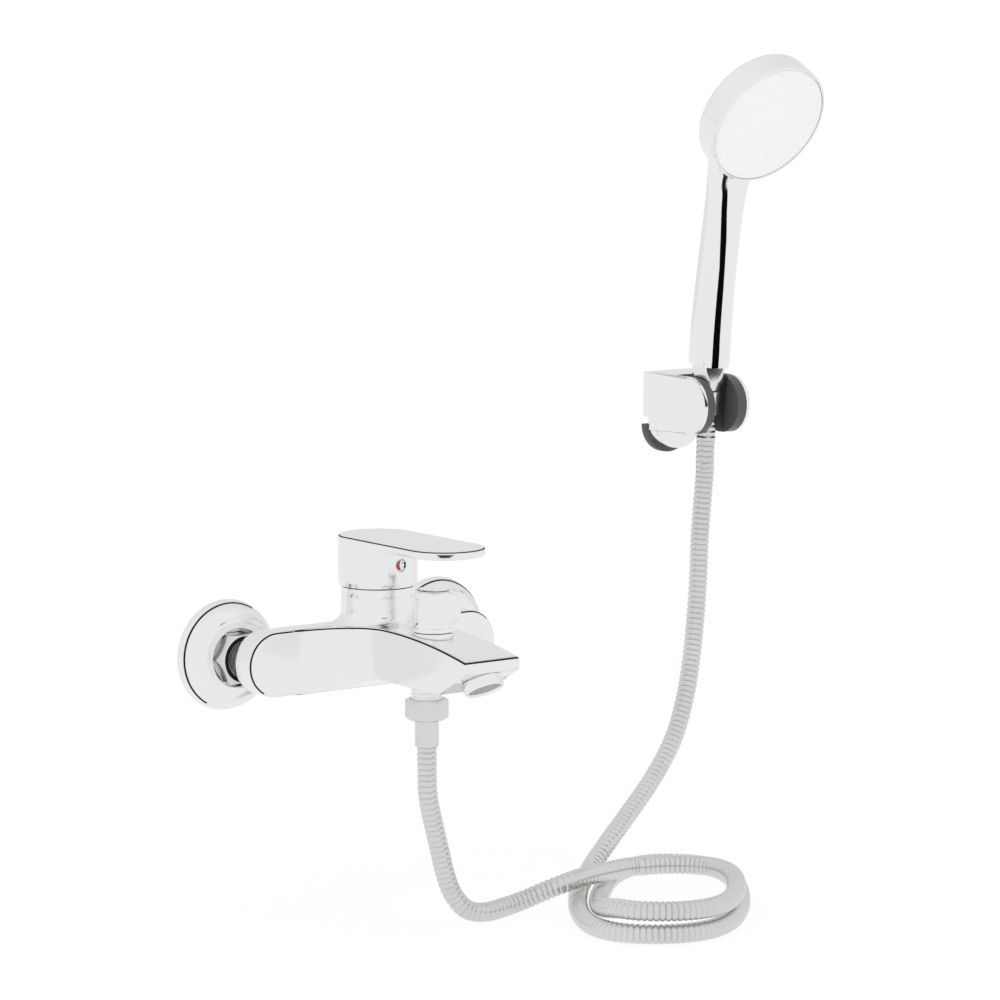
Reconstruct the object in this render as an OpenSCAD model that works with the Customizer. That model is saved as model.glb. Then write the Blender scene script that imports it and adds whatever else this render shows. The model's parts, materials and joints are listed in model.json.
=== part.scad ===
// Wall-mounted single-lever bath shower mixer with a hand shower, its hose and its wall holder.
// Millimetres. X runs along the wall, -Y points out of the wall into the room, +Z is up.
// The origin is on the wall face, halfway between the two inlets.

/* [Wall connection] */
// Distance between the two inlets
inlet_spacing = 150; // [134:1:170]
// Radius of the pipe thread that goes into the wall
tail_r = 10.4775; // [8.5:0.0005:12]
// Length of the pipe thread in the wall
tail_l = 14; // [8:1:25]
// Radius of the union's thread, outside the wall
union_r = 12.4; // [11.4:0.1:12.9]
// Length of the union outside the wall
union_l = 15.5; // [14:0.5:20]
// Water bore of the union
union_bore_r = 7; // [5:0.1:8]
// Thickness of the washer between union and inlet
inlet_washer_t = 1.8; // [1:0.1:3]
// Distance across the flats of the union nut
union_nut_af = 28; // [27:0.1:29]
// Thickness of the nut's lip behind the inlet flange
nut_lip_t = 2.4; // [1.5:0.1:4]
// Radius of the inlet nipple's stub
nipple_r = 9.8; // [8.8:0.1:10.2]
// Thickness of the inlet nipple's flange
nipple_flange_t = 2; // [1.5:0.1:3]
// Depth of the inlet nipple in the body
nipple_depth = 8; // [5:0.5:11]
// Outer radius of the wall flange
flange_r = 32.5; // [27:0.5:40]
// Distance from the wall to the flange's highest line
flange_depth = 14.5; // [12:0.5:17]
// Height of the flange's straight rim
flange_rim = 5; // [2:0.5:6]
// How much the flange's rim narrows towards the room
flange_taper = 1.3; // [0.5:0.1:2]
// Radius of the flange's dome in section
flange_dome_r = 24; // [20:1:40]
// Sheet thickness of the flange
flange_t = 1.4; // [1:0.1:2]
// Distance from the wall to the floor of the flange's recess
flange_floor = 6.5; // [5.5:0.5:7]

/* [Mixer body] */
// Half of the body's length along the wall
wing_half_l = 87; // [80:1:100]
// Half of the height of the body's wings
wing_r = 19; // [18:0.5:22]
// How far the wings' middle lies below the inlet axis
wing_drop = 0.8; // [0:0.1:2]
// Depth of the wings from back to front
wing_depth = 24; // [22:0.5:30]
// Rounding of the wings' back edge
wing_back_r = 10; // [4:0.5:14]
// Half of the spout's width
spout_half_w = 19.3; // [17:0.1:22]
// Distance of the spout's tip from the wall
spout_reach = 162; // [158:1:190]
// Radius of the curve from the wings to the spout, seen from above
sweep_r = 38; // [20:1:44]
// Radius of the crowned top, seen from the side
crown_r = 380; // [300:5:600]
// Distance of the crown's highest line from the wall
crown_y = 82; // [75:1:95]
// Height of the spout's front edge
tip_t = 7; // [5.5:0.1:9]
// Height of the spout's belly above the bottom of the wings
belly_rise = 9.4; // [5:0.1:11]
// Distance from the wall where the belly levels out
belly_y = 72; // [65:1:80]

/* [Cartridge boss] */
// Distance of the lever's turning axis from the wall
boss_y = 49; // [46:0.5:52]
// Radius of the boss and the trim ring
boss_r = 21.7; // [21:0.1:21.9]
// Height of the boss above the inlet axis
boss_top = 34.5; // [34.2:0.1:37]
// Radius of the flare at the foot of the boss
flare_r = 8; // [4:0.5:10]
// Radius of the cartridge
cartridge_r = 17.4; // [17:0.1:17.8]
// Height of the cartridge chamber's floor above the inlet axis
chamber_floor = 6; // [5:0.1:7]
// Height of the trim ring
trim_h = 6; // [4:0.1:7]
// Radius of the water ways in the wings
way_r = 5; // [3:0.1:6]

/* [Cartridge] */
// Thickness of the cartridge base
base_t = 5.7; // [4.5:0.1:6.5]
// Thickness of the fixed ceramic disc
fixed_disc_t = 3.5; // [2.5:0.1:4]
// Thickness of the moving ceramic disc
moving_disc_t = 3; // [2:0.1:3.5]
// Radius of the moving ceramic disc and its carrier
moving_disc_r = 10.8; // [9:0.1:11]
// Thickness of the disc carrier
carrier_t = 3; // [2.5:0.1:3.5]
// Thickness of the rotor's flange
rotor_flange_t = 2.4; // [1.5:0.1:3]
// Radius of the rotor's neck
rotor_r = 10; // [9.5:0.1:10.8]
// Thickness of the housing's top
housing_top_t = 3.2; // [2:0.1:4]
// Wall of the housing
housing_wall = 2.2; // [1.6:0.1:2.4]
// Height of the clamping nut
clamp_nut_h = 5; // [3:0.1:6]
// Side of the square stem
stem_w = 8; // [6:0.1:8.4]
// Radius of the stem pin
stem_pin_r = 1.5; // [1:0.05:2]
// Radius of the ball at the stem's lower end
stem_ball_r = 3; // [2.6:0.05:3.2]
// Height of the stem's ball below its pin
stem_reach = 10; // [9.5:0.1:10.5]
// How far the lever lifts, in degrees
lift_angle = 22; // [10:1:25]

/* [Lever] */
// Radius of the skirt and of the paddle's ends
skirt_r = 23.2; // [23:0.1:26]
// Height of the lever from the skirt's edge to the top
lever_h = 29.6; // [27:0.1:36]
// Distance from the turning axis to the middle of the paddle's end
paddle_l = 67; // [50:1:90]
// Thickness of the paddle
paddle_t = 4.8; // [3:0.1:7]
// Width of the chamfer at the skirt's edge
skirt_chamfer_w = 0.9; // [0.3:0.1:0.9]
// Height of the chamfer at the skirt's edge
skirt_chamfer_h = 2.5; // [1:0.1:5]
// Radius of the index button
index_r = 3.8; // [3:0.1:4.5]
// Height of the index button above the skirt's edge
index_h = 13.6; // [12.6:0.1:14.6]
// Radius of the clamping screw
grub_r = 2.4; // [1.5:0.1:2.6]

/* [Diverter] */
// Distance of the diverter's axis from the wall
diverter_y = 105; // [102:0.5:110]
// Radius of the turning plug
plug_r = 7.8; // [6.5:0.1:8.4]
// Length of the turning plug
plug_l = 11.5; // [10:0.1:13]
// Radius of the spindle
spindle_r = 4; // [3:0.1:4.6]
// Radius of the knob at its foot
knob_r = 12.2; // [11.5:0.1:14]
// Radius of the knob at its top
knob_top_r = 10.8; // [10:0.1:11.4]
// Height of the knob
knob_h = 23.4; // [20:0.1:27]
// Radius of the bush's collar
collar_r = 9.6; // [9.2:0.1:10.4]
// Height of the bush's collar above its seat
collar_h = 1.8; // [1.6:0.1:4]
// How far the finger tab stands out from the axis
tab_reach = 15.6; // [14:0.1:19]
// Thickness of the finger tab
tab_t = 5; // [3:0.1:7]
// Direction of the finger tab, in degrees from +X
tab_turn = -28; // [-60:1:20]

/* [Spout end] */
// Tilt of the aerator's axis from straight down, in degrees
aerator_tilt = 30; // [26:1:34]
// Radius of the aerator
aerator_r = 11.8; // [11:0.1:12]
// Visible height of the aerator
aerator_h = 6.4; // [5:0.1:9]
// Radius of the aerator's thread in the spout
aerator_thread_r = 9.3; // [8:0.1:9.6]
// Length of the aerator's thread in the spout
aerator_thread_l = 5; // [3.5:0.1:6]

/* [Shower outlet] */
// Distance of the outlet's axis from the wall
outlet_y = 98; // [96:0.5:101]
// Radius of the outlet's thread
outlet_r = 9.3; // [8.6:0.1:9.5]
// Height of the outlet's lower end below the inlet axis
outlet_end = 25; // [23:0.5:30]
// Distance across the flats of the hose nut
hose_nut_af = 21.8; // [20.8:0.1:24]
// Height of the hose nut
hose_nut_h = 12.4; // [11:0.1:16]
// Radius of the hose sleeves
sleeve_r = 6.9; // [6.6:0.1:7.2]

/* [Hose] */
// Outer radius of the hose
hose_r = 5.75; // [5:0.05:5.75]
// Depth of the grooves between the ribs
rib_depth = 0.55; // [0.2:0.05:0.8]
// Radius of the bore of the hose
hose_bore_r = 3.6; // [2.5:0.1:3.8]
// Half of the width of the coil's lower turn
coil_r = 48.5; // [47:0.5:52]
// Depth of the coil's lower turn from front to back
coil_depth = 186; // [182:1:194]

/* [Holder] */
// Width of the holder
bracket_w = 31; // [30:0.5:36]
// Distance of the holder's middle from the middle of the mixer
bracket_x = 252.5; // [230:0.5:280]
// Height of the holder's pivot above the inlet axis
pivot_z = 129.5; // [115:0.5:150]
// Distance of the holder's pivot from the wall
pivot_y = 42; // [40:0.5:46]
// Radius of the cheeks
cheek_r = 18; // [17:0.1:20]
// Thickness of the cheeks
cheek_t = 2.6; // [2.4:0.1:3]
// Thickness of the wall plate
plate_t = 4.7; // [3:0.1:6]
// Radius of the wall plate's lower end
plate_r = 18.5; // [17:0.1:22]
// Radius of the bracket's lower end
lobe_r = 15.5; // [13:0.1:15.5]
// Height of the lower ends' centre below the pivot
lobe_drop = 14.5; // [12:0.1:17]
// Thickness of the bracket's lower end
lobe_t = 7; // [4:0.1:9]
// Radius of the wall plate's screw holes
screw_hole_r = 2.2; // [1.5:0.1:3]
// Distance between the wall plate's screw holes
screw_spacing = 14; // [11:0.5:16]
// Radius of the core's journals
journal_r = 5; // [3.5:0.1:6]
// Width of the core's slot for the hose
slot_w = 14.2; // [14:0.1:15]

/* [Handset] */
// Lean of the handset out of the wall, in degrees
lean = 3; // [0:0.5:8]
// Radius of the hose's conical nut at its upper end
cone_top_r = 9.8; // [9.6:0.1:10.6]
// Radius of the hose's conical nut at its lower end
cone_low_r = 8.2; // [8.1:0.1:8.6]
// Height of the conical nut's upper end above the pivot
cone_top = 24.5; // [24:0.1:27]
// Length of the conical nut
cone_l = 30.5; // [28:0.1:34]
// Radius of the handle
handle_r = 12.3; // [11.6:0.1:13.4]
// Length of the handle up to its neck
handle_l = 107; // [98:1:110]
// Radius of the handle's forward bend
handle_bend_r = 580; // [480:10:800]
// Radius of the shower head
head_r = 40.5; // [38:0.5:44]
// Thickness of the shower head
head_t = 16.5; // [15:0.1:20]
// Height of the face's middle above the pivot, along the nut's axis
head_up = 178.6; // [176:0.1:190]
// How far the face's middle lies in front of the nut's axis
head_fwd = 46.5; // [42:0.1:50]
// Tilt of the face from the nut's axis, in degrees
head_tilt = 27; // [22:0.5:32]
// Radius of the spray holes
nozzle_r = 1.1; // [0.7:0.05:1.3]
// How far the nozzles stand out of the face
nozzle_proud = 0.7; // [0.3:0.1:1.5]

/* [Hidden] */
$fn = 64;

// Clearances
running = 0.06;
easy = 0.15;
gap = 0.3;
// Cuts run past the faces they open, and curved faces stop short of the lines they would only touch.
cut = 1;
seam = 0.03;

// Places along the inlets, as distances from the wall
union_end = union_l;
inlet_washer_end = union_end + inlet_washer_t;
nipple_flange_end = inlet_washer_end + nipple_flange_t;
body_back = nipple_flange_end + nut_lip_t + 2 * easy;
body_front = body_back + wing_depth;
union_nut_start = flange_floor + flange_t + 2 * gap;
recess_r = union_nut_af / sqrt(3) + 2 * gap;
dome_inner_r = recess_r + flange_t;

// The body, seen from the side
wing_top = wing_r - wing_drop;
wing_bottom = -wing_r - wing_drop;
crown_centre_z = wing_top - seam - sqrt(pow(crown_r, 2) - pow(crown_y - body_front, 2));
function crown_z(y) = crown_centre_z + sqrt(pow(crown_r, 2) - pow(y - crown_y, 2));
tip_top = crown_z(spout_reach);
tip_low = tip_top - tip_t;
belly_z = wing_bottom + belly_rise;
belly_end_y = spout_reach - (tip_low - belly_z) / tan(aerator_tilt);

// The cartridge, from the chamber's floor upwards
base_z = chamber_floor + gap;
fixed_disc_z = base_z + base_t;
moving_disc_z = fixed_disc_z + fixed_disc_t;
carrier_z = moving_disc_z + moving_disc_t;
rotor_z = carrier_z + carrier_t + gap;
housing_top_z = rotor_z + rotor_flange_t + gap;
housing_end_z = housing_top_z + housing_top_t;
clamp_nut_r = cartridge_r + 1.6;
trim_z = boss_top;
skirt_z = trim_z + trim_h + gap;
ball_z = carrier_z + carrier_t / 2;
pin_z = ball_z + stem_reach;
rotor_top_z = pin_z + 6;
housing_inner_r = cartridge_r - housing_wall;
lever_top = skirt_z + lever_h;
skirt_inner_r = boss_r + gap;
trim_dome_r = skirt_inner_r - 2 * gap;
socket_z = pin_z + trim_dome_r + gap;
stem_top_z = lever_top - paddle_t - 6;
socket_r = 0.8 + stem_w * sqrt(2) / 2 + 2;
index_z = skirt_z + index_h;
index_depth = 3;
lug_wall = 1.6;
grub_l = skirt_r - index_depth - stem_w / 2 - gap;

// The diverter, measured upwards from the inlet axis
collar_seat_z = crown_z(diverter_y + collar_r) - 0.2;
knob_z = collar_seat_z + collar_h + gap;
plug_top_z = collar_seat_z - 13;
plug_low_z = plug_top_z - plug_l;
bush_thread_r = plug_r + 0.8;
cap_t = 1.2;
screw_head_r = 3.4;
mixed_way_z = plug_low_z + plug_l / 2;
spout_way_z = mixed_way_z + 2.5;

// The spout end, in its own tilted frame
aerator_mid_y = spout_reach - aerator_r * cos(aerator_tilt);
aerator_mid_z = tip_low - aerator_r * sin(aerator_tilt);

// The shower outlet, measured upwards from the inlet axis
outlet_top_z = plug_low_z - 1;
hose_nut_top = -outlet_end + 5.4;
hose_nut_low = hose_nut_top - hose_nut_h;
hose_nut_turn = -5;
hose_washer_t = 2.2;
tail_flange_t = 2.2;
sleeve_flange_z = -outlet_end - hose_washer_t;
sleeve_l = 15.7;
sleeve_low_z = hose_nut_low - sleeve_l;

// The holder and the handset
pivot = [bracket_x, -pivot_y, pivot_z];
core_half_w = bracket_w / 2 - cheek_t - easy;
journal_l = cheek_t - 0.7;
lobe_z = pivot_z - lobe_drop;
arm_top = pivot_z + cheek_r;
arm_low = pivot_z - cheek_r;
block_low = lobe_z + 4.7;
plate_gap = 0.2;
plate_tongue_half_w = 9;
plate_tongue_top = arm_top - 6;
screw_mid_z = lobe_z + 13.5;
core_r = cheek_r - 0.2;
cone_low = cone_top - cone_l;
spigot_r = cone_low_r - 0.4;
spigot_l = 12.5;
cone_washer_t = 2.2;
sleeve_flange_up_z = cone_top - spigot_l - cone_washer_t - tail_flange_t;
sleeve_end_up = cone_low - 16;
hose_end_up = sleeve_end_up - gap;
handle_bend = handle_l / handle_bend_r * 180 / PI;
handle_bore_r = 0.6 * spigot_r;
handle_end = [handle_bend_r * (cos(handle_bend) - 1), cone_top + handle_bend_r * sin(handle_bend)];
face_turn = 90 + head_tilt;
face_lip = 2.9;
face_inset = 0.4;
face_ring_t = 2.5;
plate_front_r = head_r - face_lip;
shell_inner_r = head_r - 1.9;
spray_rings = [[15, 10], [21, 15], [27, 19], [33, 24]];

// Places and turns
module at_inlet(side) translate([side * inlet_spacing / 2, 0, 0]) rotate([90, 0, 0]) children();
module at_boss() translate([0, -boss_y, 0]) children();
module at_diverter() translate([0, -diverter_y, 0]) children();
module at_outlet() translate([0, -outlet_y, 0]) children();
module at_aerator() translate([0, -aerator_mid_y, aerator_mid_z]) rotate([-aerator_tilt, 0, 0]) children();
module in_holder() translate(pivot) rotate([lean, 0, 0]) children();
module in_head() in_holder() translate([0, -head_fwd, head_up]) rotate([face_turn, 0, 0]) children();
module along_x(l) rotate([90, 0, 90]) linear_extrude(height = l, center = true) children();
module lying_x(l, r) rotate([0, 90, 0]) cylinder(h = l, r = r, center = true);
module out_of_wall(from, to, r) rotate([90, 0, 0]) translate([0, 0, from]) cylinder(h = to - from, r = r);
module tube(h, r, bore) difference() {
    cylinder(h = h, r = r);
    translate([0, 0, -cut]) cylinder(h = h + 2 * cut, r = bore);
}
module hexagon(af, h) cylinder(h = h, r = af / sqrt(3), $fn = 6);

// Wall connection
module wall_union(side) color("gainsboro") at_inlet(side) difference() {
    union() {
        translate([0, 0, -tail_l]) cylinder(h = tail_l, r = tail_r);
        cylinder(h = union_l, r = union_r);
    }
    translate([0, 0, -tail_l - cut]) cylinder(h = tail_l + union_l + 2 * cut, r = union_bore_r);
}

// The dome's section is an arc from the rim's front edge to the lip of the recess.
shoulder_r = flange_r - flange_taper;
dome_start = [shoulder_r, flange_rim];
dome_end = [dome_inner_r, flange_depth];
dome_chord = dome_end - dome_start;
dome_half = norm(dome_chord) / 2;
dome_normal = [dome_chord[1], -dome_chord[0]] / norm(dome_chord);
dome_centre = (dome_start + dome_end) / 2 - dome_normal * sqrt(pow(flange_dome_r, 2) - pow(dome_half, 2));
module flange_section() {
    polygon([
        [flange_r - flange_t, 0], [flange_r, 0], [shoulder_r, flange_rim], [shoulder_r - flange_t, flange_rim]
    ]);
    intersection() {
        translate(dome_centre) difference() {
            circle(r = flange_dome_r);
            circle(r = flange_dome_r - flange_t);
        }
        translate([dome_inner_r - flange_t, flange_rim - flange_t]) square([flange_r, flange_depth]);
        square([shoulder_r, flange_depth]);
    }
    translate([recess_r, flange_floor]) square([flange_t, flange_depth - flange_floor - 0.2]);
    translate([union_r + easy, flange_floor])
        square([recess_r + flange_t - union_r - easy, flange_t]);
}
module wall_flange(side) color("whitesmoke") at_inlet(side) rotate_extrude() flange_section();

module union_nut(side) color("silver") at_inlet(side) difference() {
    translate([0, 0, union_nut_start]) rotate(30) hexagon(union_nut_af, body_back - easy - union_nut_start);
    translate([0, 0, union_nut_start - cut])
        cylinder(h = nipple_flange_end + easy + cut - union_nut_start, r = union_r + easy);
    cylinder(h = body_back + cut, r = nipple_r + easy);
}
module inlet_washer(side) color("dimgray") at_inlet(side)
    translate([0, 0, union_end]) tube(inlet_washer_t, union_r - easy, union_bore_r);
module inlet_nipple(side) color("gainsboro") at_inlet(side) difference() {
    union() {
        translate([0, 0, inlet_washer_end]) cylinder(h = nipple_flange_t, r = union_r - easy);
        translate([0, 0, inlet_washer_end]) cylinder(h = body_back + nipple_depth - inlet_washer_end, r = nipple_r);
    }
    translate([0, 0, inlet_washer_end - cut]) cylinder(h = body_back + nipple_depth, r = union_bore_r);
}

// Mixer body
module wing_section() {
    translate([0, body_back]) square([wing_r - wing_back_r, wing_depth]);
    translate([0, body_back + wing_back_r]) square([wing_r, wing_depth - wing_back_r]);
    translate([wing_r - wing_back_r, body_back + wing_back_r]) circle(r = wing_back_r);
}
module wing_end() rotate([90, 0, 0]) rotate(-90) rotate_extrude(angle = 180) intersection() {
    wing_section();
    translate([0, body_back]) square([wing_r, wing_depth]);
}
module wings() translate([0, 0, -wing_drop]) {
    for (m = [0, 1]) mirror([m, 0, 0]) translate([wing_half_l - wing_r, 0, 0]) wing_end();
    along_x(2 * (wing_half_l - wing_r)) for (m = [0, 1]) mirror([0, m]) rotate(90) wing_section();
}
module spout_plan() {
    translate([-spout_half_w, -spout_reach]) square([2 * spout_half_w, spout_reach - body_front + cut]);
    for (m = [0, 1]) mirror([m, 0]) difference() {
        translate([spout_half_w - cut, -body_front - sweep_r]) square([sweep_r + cut, sweep_r + cut]);
        translate([spout_half_w + sweep_r + seam, -body_front - sweep_r - seam]) circle(r = sweep_r);
    }
}
module spout_side() difference() {
    intersection() {
        translate([-crown_y, crown_centre_z]) circle(r = crown_r, $fn = 720);
        translate([-spout_reach, wing_bottom]) square([spout_reach - body_front + cut, 4 * wing_r]);
    }
    polygon([
        [-spout_reach - cut, tip_low + cut * tan(aerator_tilt)], [-belly_end_y, belly_z], [-belly_y, belly_z],
        [-body_front, wing_bottom + gap], [-body_front + 2 * cut, wing_bottom + gap],
        [-body_front + 2 * cut, wing_bottom - cut], [-spout_reach - cut, wing_bottom - cut]
    ]);
}
module spout() intersection() {
    translate([0, 0, wing_bottom - cut]) linear_extrude(height = 4 * wing_r) spout_plan();
    along_x(4 * wing_half_l) spout_side();
}
module flare() intersection() {
    at_boss() translate([0, 0, wing_top - cut]) rotate_extrude() difference() {
        square([boss_r + flare_r, flare_r + cut]);
        translate([boss_r + flare_r, flare_r + cut]) circle(r = flare_r);
    }
    translate([0, 0, wing_top - cut]) linear_extrude(height = boss_top) union() {
        spout_plan();
        translate([-wing_half_l, -body_front]) square([2 * wing_half_l, wing_depth - wing_back_r]);
    }
}
port_y = boss_y - 10;
port_x = 8;
port_r = 2.8;
mixed_way_r = port_r + 0.5;
way_end_x = port_x - port_r - 0.5;
way_y = body_back + wing_depth / 2;
way_z = -wing_drop - 2;
mixed_port_y = boss_y + 10;
module body_ways() {
    for (side = [-1, 1]) {
        translate([side * inlet_spacing / 2, 0, 0])
            out_of_wall(body_back - cut, body_back + nipple_depth, nipple_r + running);
        translate([side * inlet_spacing / 2, 0, 0])
            out_of_wall(body_back, way_y + way_r / 2, union_bore_r);
        translate([side * (inlet_spacing / 2 + way_end_x) / 2, -way_y, way_z])
            lying_x(inlet_spacing / 2 - way_end_x, way_r);
        translate([side * port_x, -port_y, way_z]) cylinder(h = chamber_floor - way_z + cut, r = port_r);
    }
    at_boss() translate([0, 0, chamber_floor]) cylinder(h = boss_top, r = cartridge_r + easy);
    at_boss() translate([0, 0, housing_end_z]) cylinder(h = boss_top, r = clamp_nut_r + easy);
    translate([0, -mixed_port_y, mixed_way_z]) cylinder(h = chamber_floor - mixed_way_z + cut, r = port_r);
    translate([0, 0, mixed_way_z]) out_of_wall(mixed_port_y - port_r / 2, diverter_y, mixed_way_r);
}
module spout_ways() {
    at_diverter() {
        translate([0, 0, plug_low_z - gap]) cylinder(h = plug_l + 2 * gap, r = plug_r + running);
        translate([0, 0, plug_top_z]) cylinder(h = collar_seat_z - plug_top_z + cut, r = bush_thread_r + running);
        translate([0, 0, collar_seat_z]) cylinder(h = 4 * collar_h, r = collar_r + easy);
    }
    translate([0, 0, spout_way_z]) out_of_wall(diverter_y, aerator_mid_y - aerator_r / 2, port_r);
    at_aerator() translate([0, 0, -cut]) cylinder(h = aerator_thread_l + 2 * gap + cut, r = aerator_thread_r + running);
    at_aerator() translate([0, 0, aerator_thread_l]) cylinder(h = port_r + cut, r = aerator_thread_r / 2);
    at_outlet() translate([0, 0, belly_z - cut]) cylinder(h = outlet_top_z - belly_z + cut, r = outlet_r + running);
    at_outlet() translate([0, 0, outlet_top_z - cut]) cylinder(h = plug_low_z - outlet_top_z + 2 * cut, r = port_r);
}
module mixer_body() color("whitesmoke") difference() {
    union() {
        wings();
        spout();
        flare();
        at_boss() translate([0, 0, wing_bottom + wing_back_r]) cylinder(h = boss_top - wing_bottom - wing_back_r, r = boss_r);
    }
    body_ways();
    spout_ways();
}

// Cartridge
ports = [[-port_x, boss_y - port_y], [port_x, boss_y - port_y], [0, boss_y - mixed_port_y]];
seal_t = 1.6;
module at_ports() for (p = ports) translate([p[0], p[1], 0]) children();
module cartridge_base() color("lightgray") at_boss() difference() {
    translate([0, 0, base_z]) cylinder(h = base_t, r = cartridge_r);
    translate([0, 0, base_z - cut]) at_ports() cylinder(h = base_t + 2 * cut, r = port_r);
    translate([0, 0, base_z - cut]) at_ports() cylinder(h = seal_t - gap + cut, r = port_r + 1.4);
}
module cartridge_seals() color("black") at_boss()
    translate([0, 0, chamber_floor]) at_ports() tube(seal_t, port_r + 1.3, port_r);
module fixed_disc() color("ivory") at_boss() difference() {
    translate([0, 0, fixed_disc_z]) cylinder(h = fixed_disc_t, r = housing_inner_r - easy);
    translate([0, 0, fixed_disc_z - cut]) at_ports() cylinder(h = fixed_disc_t + 2 * cut, r = port_r);
}
module moving_disc() color("ivory") at_boss() difference() {
    translate([0, 0, moving_disc_z]) cylinder(h = moving_disc_t, r = moving_disc_r);
    translate([0, 0, moving_disc_z - cut]) cylinder(h = moving_disc_t / 4 + cut, r = moving_disc_r - 4);
    translate([0, 0, ball_z - stem_ball_r - gap]) cylinder(h = moving_disc_t, r = stem_ball_r + 2 * easy);
}
module disc_carrier() color("white") at_boss() difference() {
    translate([0, 0, carrier_z]) cylinder(h = carrier_t, r = moving_disc_r);
    translate([0, 0, carrier_z - cut]) cylinder(h = carrier_t + 2 * cut, r = stem_ball_r + 2 * easy);
}
module cartridge_housing() color("whitesmoke") at_boss() difference() {
    translate([0, 0, fixed_disc_z]) cylinder(h = housing_end_z - fixed_disc_z, r = cartridge_r);
    translate([0, 0, fixed_disc_z - cut]) cylinder(h = housing_top_z - fixed_disc_z + cut, r = housing_inner_r);
    translate([0, 0, housing_top_z - cut]) cylinder(h = housing_top_t + 2 * cut, r = rotor_r + running);
}
stem_slot = (rotor_top_z - pin_z) * tan(lift_angle) + stem_w / (2 * cos(lift_angle)) + gap;
module cartridge_rotor() color("white") at_boss() difference() {
    union() {
        translate([0, 0, rotor_z]) cylinder(h = rotor_flange_t, r = housing_inner_r - 2 * easy);
        translate([0, 0, rotor_z]) cylinder(h = rotor_top_z - rotor_z, r = rotor_r);
    }
    translate([-stem_w / 2 - easy, -stem_slot, rotor_z - cut])
        cube([stem_w + 2 * easy, 2 * stem_slot, rotor_top_z - rotor_z + 2 * cut]);
    translate([0, 0, pin_z]) lying_x(2 * rotor_r + 2 * cut, stem_pin_r + running);
}
module stem_pin() color("silver") at_boss() translate([0, 0, pin_z]) lying_x(2 * rotor_r - 2, stem_pin_r);
stem_neck_r = stem_ball_r - 0.8;
bar_z = pin_z - stem_w / 2;
module cartridge_stem() color("goldenrod") at_boss() difference() {
    union() {
        translate([0, 0, ball_z]) sphere(r = stem_ball_r);
        translate([0, 0, ball_z]) cylinder(h = pin_z - ball_z, r = stem_neck_r);
        translate([-stem_w / 2, -stem_w / 2, bar_z]) cube([stem_w, stem_w, stem_top_z - bar_z]);
    }
    translate([0, 0, pin_z]) lying_x(2 * stem_w, stem_pin_r + running);
}
module clamping_nut() color("goldenrod") at_boss()
    translate([0, 0, housing_end_z]) tube(clamp_nut_h, clamp_nut_r, rotor_r + 2);
module trim_section() difference() {
    union() {
        square([boss_r, trim_h]);
        translate([0, pin_z - trim_z]) circle(r = trim_dome_r);
    }
    translate([-cut, -trim_dome_r * 2]) square([boss_r * 2, trim_dome_r * 2]);
    translate([-2 * boss_r, -2 * boss_r]) square([2 * boss_r, 4 * boss_r]);
    translate([0, pin_z - trim_z]) circle(r = trim_dome_r - 1.6);
    square([0.6 * trim_dome_r, 2 * boss_r]);
}
module trim_ring() color("whitesmoke") at_boss() translate([0, 0, trim_z]) rotate_extrude() trim_section();

// Lever
module lever_outline(r) {
    circle(r = r);
    translate([-r, -paddle_l]) square([2 * r, paddle_l]);
    translate([0, -paddle_l]) circle(r = r);
}
module skirt() translate([0, 0, skirt_z]) {
    cylinder(h = skirt_chamfer_h, r1 = skirt_r - skirt_chamfer_w, r2 = skirt_r);
    translate([0, 0, skirt_chamfer_h]) cylinder(h = lever_h - skirt_chamfer_h, r = skirt_r);
}
module lever_handle() color("whitesmoke") at_boss() difference() {
    union() {
        difference() {
            union() {
                skirt();
                translate([0, 0, lever_top - paddle_t]) linear_extrude(height = paddle_t) lever_outline(skirt_r);
            }
            translate([0, 0, skirt_z - cut])
                cylinder(h = stem_top_z - skirt_z + cut, r = skirt_inner_r);
        }
        translate([0, 0, socket_z]) cylinder(h = lever_top - paddle_t - socket_z, r = socket_r);
        translate([0, 0, index_z]) out_of_wall(socket_r - cut, skirt_inner_r + gap, index_r + lug_wall);
    }
    translate([-stem_w / 2 - running, -stem_w / 2 - running, socket_z - cut])
        cube([stem_w + 2 * running, stem_w + 2 * running, stem_top_z - socket_z + cut + gap]);
    translate([0, 0, index_z]) out_of_wall(0, 2 * skirt_r, grub_r + running);
    translate([0, 0, index_z]) out_of_wall(skirt_r - index_depth, 2 * skirt_r, index_r + running);
}
module lever_screw() color("dimgray") at_boss() translate([0, 0, index_z])
    out_of_wall(stem_w / 2, stem_w / 2 + grub_l, grub_r);
module index_button() color("firebrick") at_boss() translate([0, 0, index_z])
    out_of_wall(skirt_r - index_depth, skirt_r - 0.6, index_r);

// Diverter
seal_z = collar_seat_z - 4;
seal_r = 0.9;
module diverter_bush() color("silver") at_diverter() difference() {
    union() {
        translate([0, 0, plug_top_z + 2 * gap]) cylinder(h = collar_seat_z + collar_h / 2 - plug_top_z - 2 * gap, r = bush_thread_r);
        translate([0, 0, collar_seat_z]) cylinder(h = collar_h, r = collar_r);
    }
    cylinder(h = 2 * knob_z, r = spindle_r + running);
    for (k = [0, 1]) translate([0, 0, seal_z - 4 * k]) cylinder(h = 2 * seal_r, r = spindle_r + 2 * seal_r);
}
module diverter_seals() color("black") at_diverter() for (k = [0, 1]) translate([0, 0, seal_z - 4 * k + seal_r])
    rotate_extrude() translate([spindle_r + seal_r + running / 2, 0]) circle(r = seal_r - running, $fn = 32);
elbow_r = 1.8;
elbow_x = plug_r - elbow_r - 0.6;
spindle_top_z = knob_z + knob_h - 6;
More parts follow.
